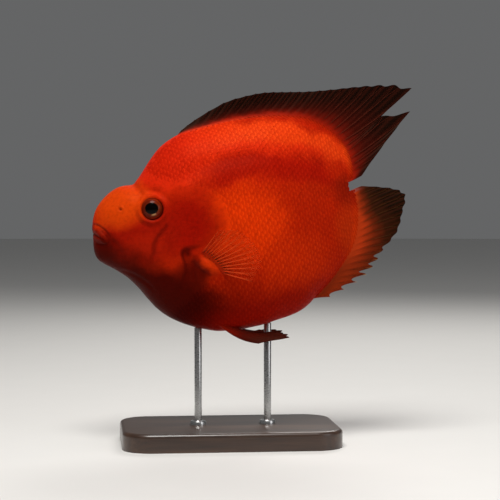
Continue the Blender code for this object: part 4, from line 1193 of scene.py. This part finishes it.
# Eyes
eyeLook = {
    "shine": 0.03, "coat": 0.08, "coatRoughness": 0.02, "pupil": (0.0012, 0.0006, 0.0005),
    # the pale gleam colour is a painted highlight on the lower iris, at the given turn
    "irisHighlight": (0.46, 0.22, 0.09), "irisHighlightTurn": 4.95, "shade": (0.5, 0.4, 0.4), "shadeTurn": 2.9,
    "shadeShare": 0.7, "spokes": 52.0, "spokeShare": 0.3, "flecks": 0.12, "roughness": (0.1, 0.25),
    "iris": [(0.0, (0.14, 0.022, 0.006)), (0.22, (0.16, 0.015, 0.002)), (0.60, (0.15, 0.010, 0.0012)),
             (0.85, (0.26, 0.020, 0.0020)), (1.0, (0.12, 0.004, 0.001))],
}


def eyeMaterial():
    look, (least, more) = eyeLook, eyeLook["roughness"]
    fixed = {"Specular IOR Level": look["shine"], "Coat Weight": look["coat"],
             "Coat Roughness": look["coatRoughness"]}
    material, nodes = newMaterial("eyeGloss", fixed)
    beside, _, above = nodes.parts(nodes.stored("seen", "Vector"))
    turn = nodes.number("ARCTAN2", above, beside)
    iris = (beside ** 2.0 + above ** 2.0) ** 0.5 * (1 / eyeForm["radius"])
    (shiftBeside, shiftAbove), (wide, tall) = eyeForm["pupilShift"], eyeForm["pupil"]
    pupil = (((beside - shiftBeside) / wide) ** 2.0 + ((above - shiftAbove) / tall) ** 2.0) ** 0.5
    spokes = nodes.number("SINE", turn * look["spokes"]) * 0.5 + 0.5
    flecks = nodes.noise(nodes.fishPlaces(), 2.4, 4.0)
    width = nodes.between(pupil, 1.0, 1.9) * 0.5 + nodes.between(iris, 0.45, 0.95) * 0.5
    colour = nodes.ramp(width + (flecks - 0.5) * look["flecks"], look["iris"])
    shade = nodes.tinted(colour, look["shade"])
    colour = nodes.mixColour(spokes * look["spokeShare"], colour, shade)
    forward = nodes.number("COSINE", turn - look["shadeTurn"]) * 0.5 + 0.5
    colour = nodes.mixColour(forward * look["shadeShare"], colour, shade)
    # painted highlight: a pale gleam on the iris below the pupil
    below = nodes.number("COSINE", turn - look["irisHighlightTurn"])
    irisHighlight = nodes.between(pupil, 1.45, 1.1) * nodes.between(below, 0.86, 1.0)
    colour = nodes.mixColour(irisHighlight, colour, look["irisHighlight"])
    opened = nodes.between(pupil, 0.96, 1.04)
    colour = nodes.mixColour(opened, look["pupil"], colour)
    nodes.feed(Base_Color=colour, Roughness=opened * more + least)
    return material


def makeEyes():
    material, form = eyeMaterial(), eyeForm
    tip = np.repeat(np.pi * np.arange(form["spans"] + 1) / form["spans"], form["turns"])
    around = np.tile(2 * np.pi * np.arange(form["turns"]) / form["turns"], form["spans"] + 1)
    radius, depth = form["radius"] * np.sin(tip), form["halfDepth"] * np.cos(tip)
    local = np.column_stack([radius * np.cos(around), radius * np.sin(around), depth])
    for label, side in bothSides.items():
        low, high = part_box(f"eye_{label}")
        facing = turnToWorld([-math.sin(form["turn"]), side * math.cos(form["turn"]), 0.0])
        turned = local @ np.array(Vector(facing).to_track_quat("Z", "Y").to_matrix()).T
        vertices = np.array((low + high) / 2) + turned * mm
        eye = newObject(f"eyeball_{label}", vertices, ringFaces(form["spans"] + 1, form["turns"]))
        giveValues(eye, seen=np.where((tip < math.pi / 2)[:, None], turned, (form["radius"], 0.0, 0.0)))
        addPiece(faceOutwards(eye, weld=True), material, (f"eye_{label}",))
    print("eyes made")


makeEyes()


# Stand
standForm = {"corner": 16.0, "bevel": 2.2, "bevelSteps": 6, "cornerSteps": 16, "rodSides": 40,
             "collarRadius": 4.4, "collarHeight": 2.0, "sharpFrom": 35}
woodLook = {
    "varnish": 0.45, "varnishRoughness": 0.16, "figure": (9.0, 150.0, 150.0), "pores": (90.0, 1800.0, 1800.0),
    "colours": [(0.3, (0.014, 0.006, 0.003)), (0.5, (0.045, 0.020, 0.010)), (0.72, (0.095, 0.046, 0.022))],
    "relief": (0.12, 0.0002), "roughness": (0.3, 0.2),
}
steelLook = {"brushing": (500.0, 500.0, 6000.0), "dark": (0.42, 0.42, 0.42), "light": (0.62, 0.61, 0.60),
             "relief": (0.08, 0.00005), "roughness": (0.2, 0.16)}


def woodMaterial():
    look, (least, more) = woodLook, woodLook["roughness"]
    fixed = {"Coat Weight": look["varnish"], "Coat Roughness": look["varnishRoughness"]}
    material, nodes = newMaterial("darkWood", fixed)
    figure = nodes.noise(nodes.places(*look["figure"]), 1.0, 6.0, 0.62)
    pores = nodes.noise(nodes.places(*look["pores"]), 1.0, 2.0)
    colour = nodes.ramp(figure * 0.8 + pores * 0.2, look["colours"])
    normal = nodes.bump(pores * 0.6 + figure * 0.4, *look["relief"])
    nodes.feed(Base_Color=colour, Roughness=figure * more + least, Normal=normal)
    return material


def steelMaterial():
    look, (least, more) = steelLook, steelLook["roughness"]
    material, nodes = newMaterial("brushedSteel", {"Metallic": 1.0})
    brushed = nodes.noise(nodes.places(*look["brushing"]), 1.0, 2.0)
    colour = nodes.mixColour(brushed, look["dark"], look["light"])
    normal = nodes.bump(brushed, *look["relief"])
    nodes.feed(Base_Color=colour, Roughness=brushed * more + least, Normal=normal)
    return material


def makePlinth(high):
    form = standForm
    corner, bevel = form["corner"] * mm, form["bevel"] * mm
    slope = np.linspace(0, math.pi / 2, form["bevelSteps"] + 1)
    heights = [0.0, *(high.z - bevel + bevel * np.sin(slope))]
    insets = [0.0, *(bevel * (1 - np.cos(slope)))]
    steps = form["cornerSteps"] + 1
    turn = math.pi / 2 * (np.repeat(range(4), steps) + np.tile(np.linspace(0, 1, steps), 4))
    quarters = np.repeat([(1, 1), (-1, 1), (-1, -1), (1, -1)], steps, axis=0)
    centres = quarters * (high.x - corner, high.y - corner)
    rings, count = [], len(turn)
    for height, inset in zip(heights, insets):
        flat = centres + (corner - inset) * np.column_stack([np.cos(turn), np.sin(turn)])
        rings.append(np.column_stack([flat, np.full(count, height)]))
    total = len(rings) * count
    faces = ringFaces(len(rings), count) + [list(range(count)), list(range(total - count, total))]
    base = faceOutwards(newObject("plinth", np.vstack(rings), faces))
    addPiece(base, woodMaterial(), ("stand_base",), form["sharpFrom"])


def makeRod(name, top, material):  # turned, with a collar on the plinth
    form = standForm
    low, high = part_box(name)
    x, radius = (low.x + high.x) / 2, (high.x - low.x) / 2
    collar, tall = form["collarRadius"] * mm, form["collarHeight"] * mm
    profile = [  # radius and height
        (0.0, low.z), (radius, low.z), (radius, top - 0.0005), (collar, top - 0.0005),
        (collar, top + tall * 0.7), (collar - 0.0004, top + tall), (radius + 0.0003, top + tall),
        (radius, top + tall + 0.0003), (radius, high.z - 0.0006), (radius * 0.8, high.z), (0.0, high.z),
    ]
    turns = [2 * math.pi * k / form["rodSides"] for k in range(form["rodSides"])]
    vertices = [(x + r * math.cos(turn), r * math.sin(turn), z) for r, z in profile for turn in turns]
    rod = newObject(name.replace("stand_", "") + "_turned", vertices, ringFaces(len(profile), len(turns)))
    addPiece(faceOutwards(rod, weld=True), material, (name,), form["sharpFrom"])


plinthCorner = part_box("stand_base")[1]
makePlinth(plinthCorner)
steel = steelMaterial()
makeRod("stand_rod_front", plinthCorner.z, steel)
makeRod("stand_rod_rear", plinthCorner.z, steel)
print("stand made")


# Room, light and camera
roomForm = {"floorRadius": 4.0, "floorSides": 96, "floor": (0.74, 0.73, 0.71), "world": (0.80, 0.81, 0.82),
            "worldStrength": 0.16}
lamps = [  # place, size, power, colour
    ((-0.12, -0.42, 0.95), 0.50, 10.8, (1.0, 0.98, 0.95)),
    ((0.80, -0.60, 0.40), 0.60, 1.6, (0.97, 0.98, 1.0)),
    ((0.30, 0.75, 0.75), 0.50, 3.6, (1.0, 0.98, 0.95)),
]
shot = {"target": (0.0114, 0.0, 0.1049), "width": 0.2725, "distance": 0.9, "azimuth": -6.0, "elevation": 2.0}


def makeRoom():
    turns = np.linspace(0, 2 * math.pi, roomForm["floorSides"], endpoint=False)
    rim = roomForm["floorRadius"] * np.column_stack([np.cos(turns), np.sin(turns), 0 * turns])
    floor = newObject("floor", rim, [list(range(len(rim)))])
    material, nodes = newMaterial("paleFloor", {"Roughness": 0.7})
    grain = nodes.noise(nodes.add("ShaderNodeTexCoord").out("Object"), 30.0)
    colour = nodes.mixColour(grain, roomForm["floor"], tuple(0.97 * c for c in roomForm["floor"]))
    nodes.feed(Base_Color=colour)
    floor.data.materials.append(material)
    world = bpy.data.worlds.new("softRoom")
    world.use_nodes = True
    background = world.node_tree.nodes["Background"]
    background.inputs[0].default_value = (*roomForm["world"], 1.0)
    background.inputs[1].default_value = roomForm["worldStrength"]
    scene.world = world
    target = Vector(shot["target"])
    for place, size, power, colour in lamps:
        lamp = addObject("softLight", bpy.data.lights.new("softLight", "AREA"))
        lamp.data.shape, lamp.data.size, lamp.data.energy, lamp.data.color = "DISK", size, power, colour
        lamp.location = place
        lamp.rotation_euler = (Vector(place) - target).to_track_quat("Z", "Y").to_euler()


def makeCamera():
    turn, rise = math.radians(shot["azimuth"]), math.radians(shot["elevation"])
    back = Vector((math.sin(turn) * math.cos(rise), -math.cos(turn) * math.cos(rise), math.sin(rise)))
    camera = addObject("camera", bpy.data.cameras.new("camera"))
    camera.data.lens = camera.data.sensor_width * shot["distance"] / shot["width"]
    camera.data.clip_start = 0.01
    camera.location = Vector(shot["target"]) + back * shot["distance"]
    camera.rotation_euler = back.to_track_quat("Z", "Y").to_euler()
    scene.camera = camera


makeRoom()
makeCamera()
bpy.context.view_layer.update()
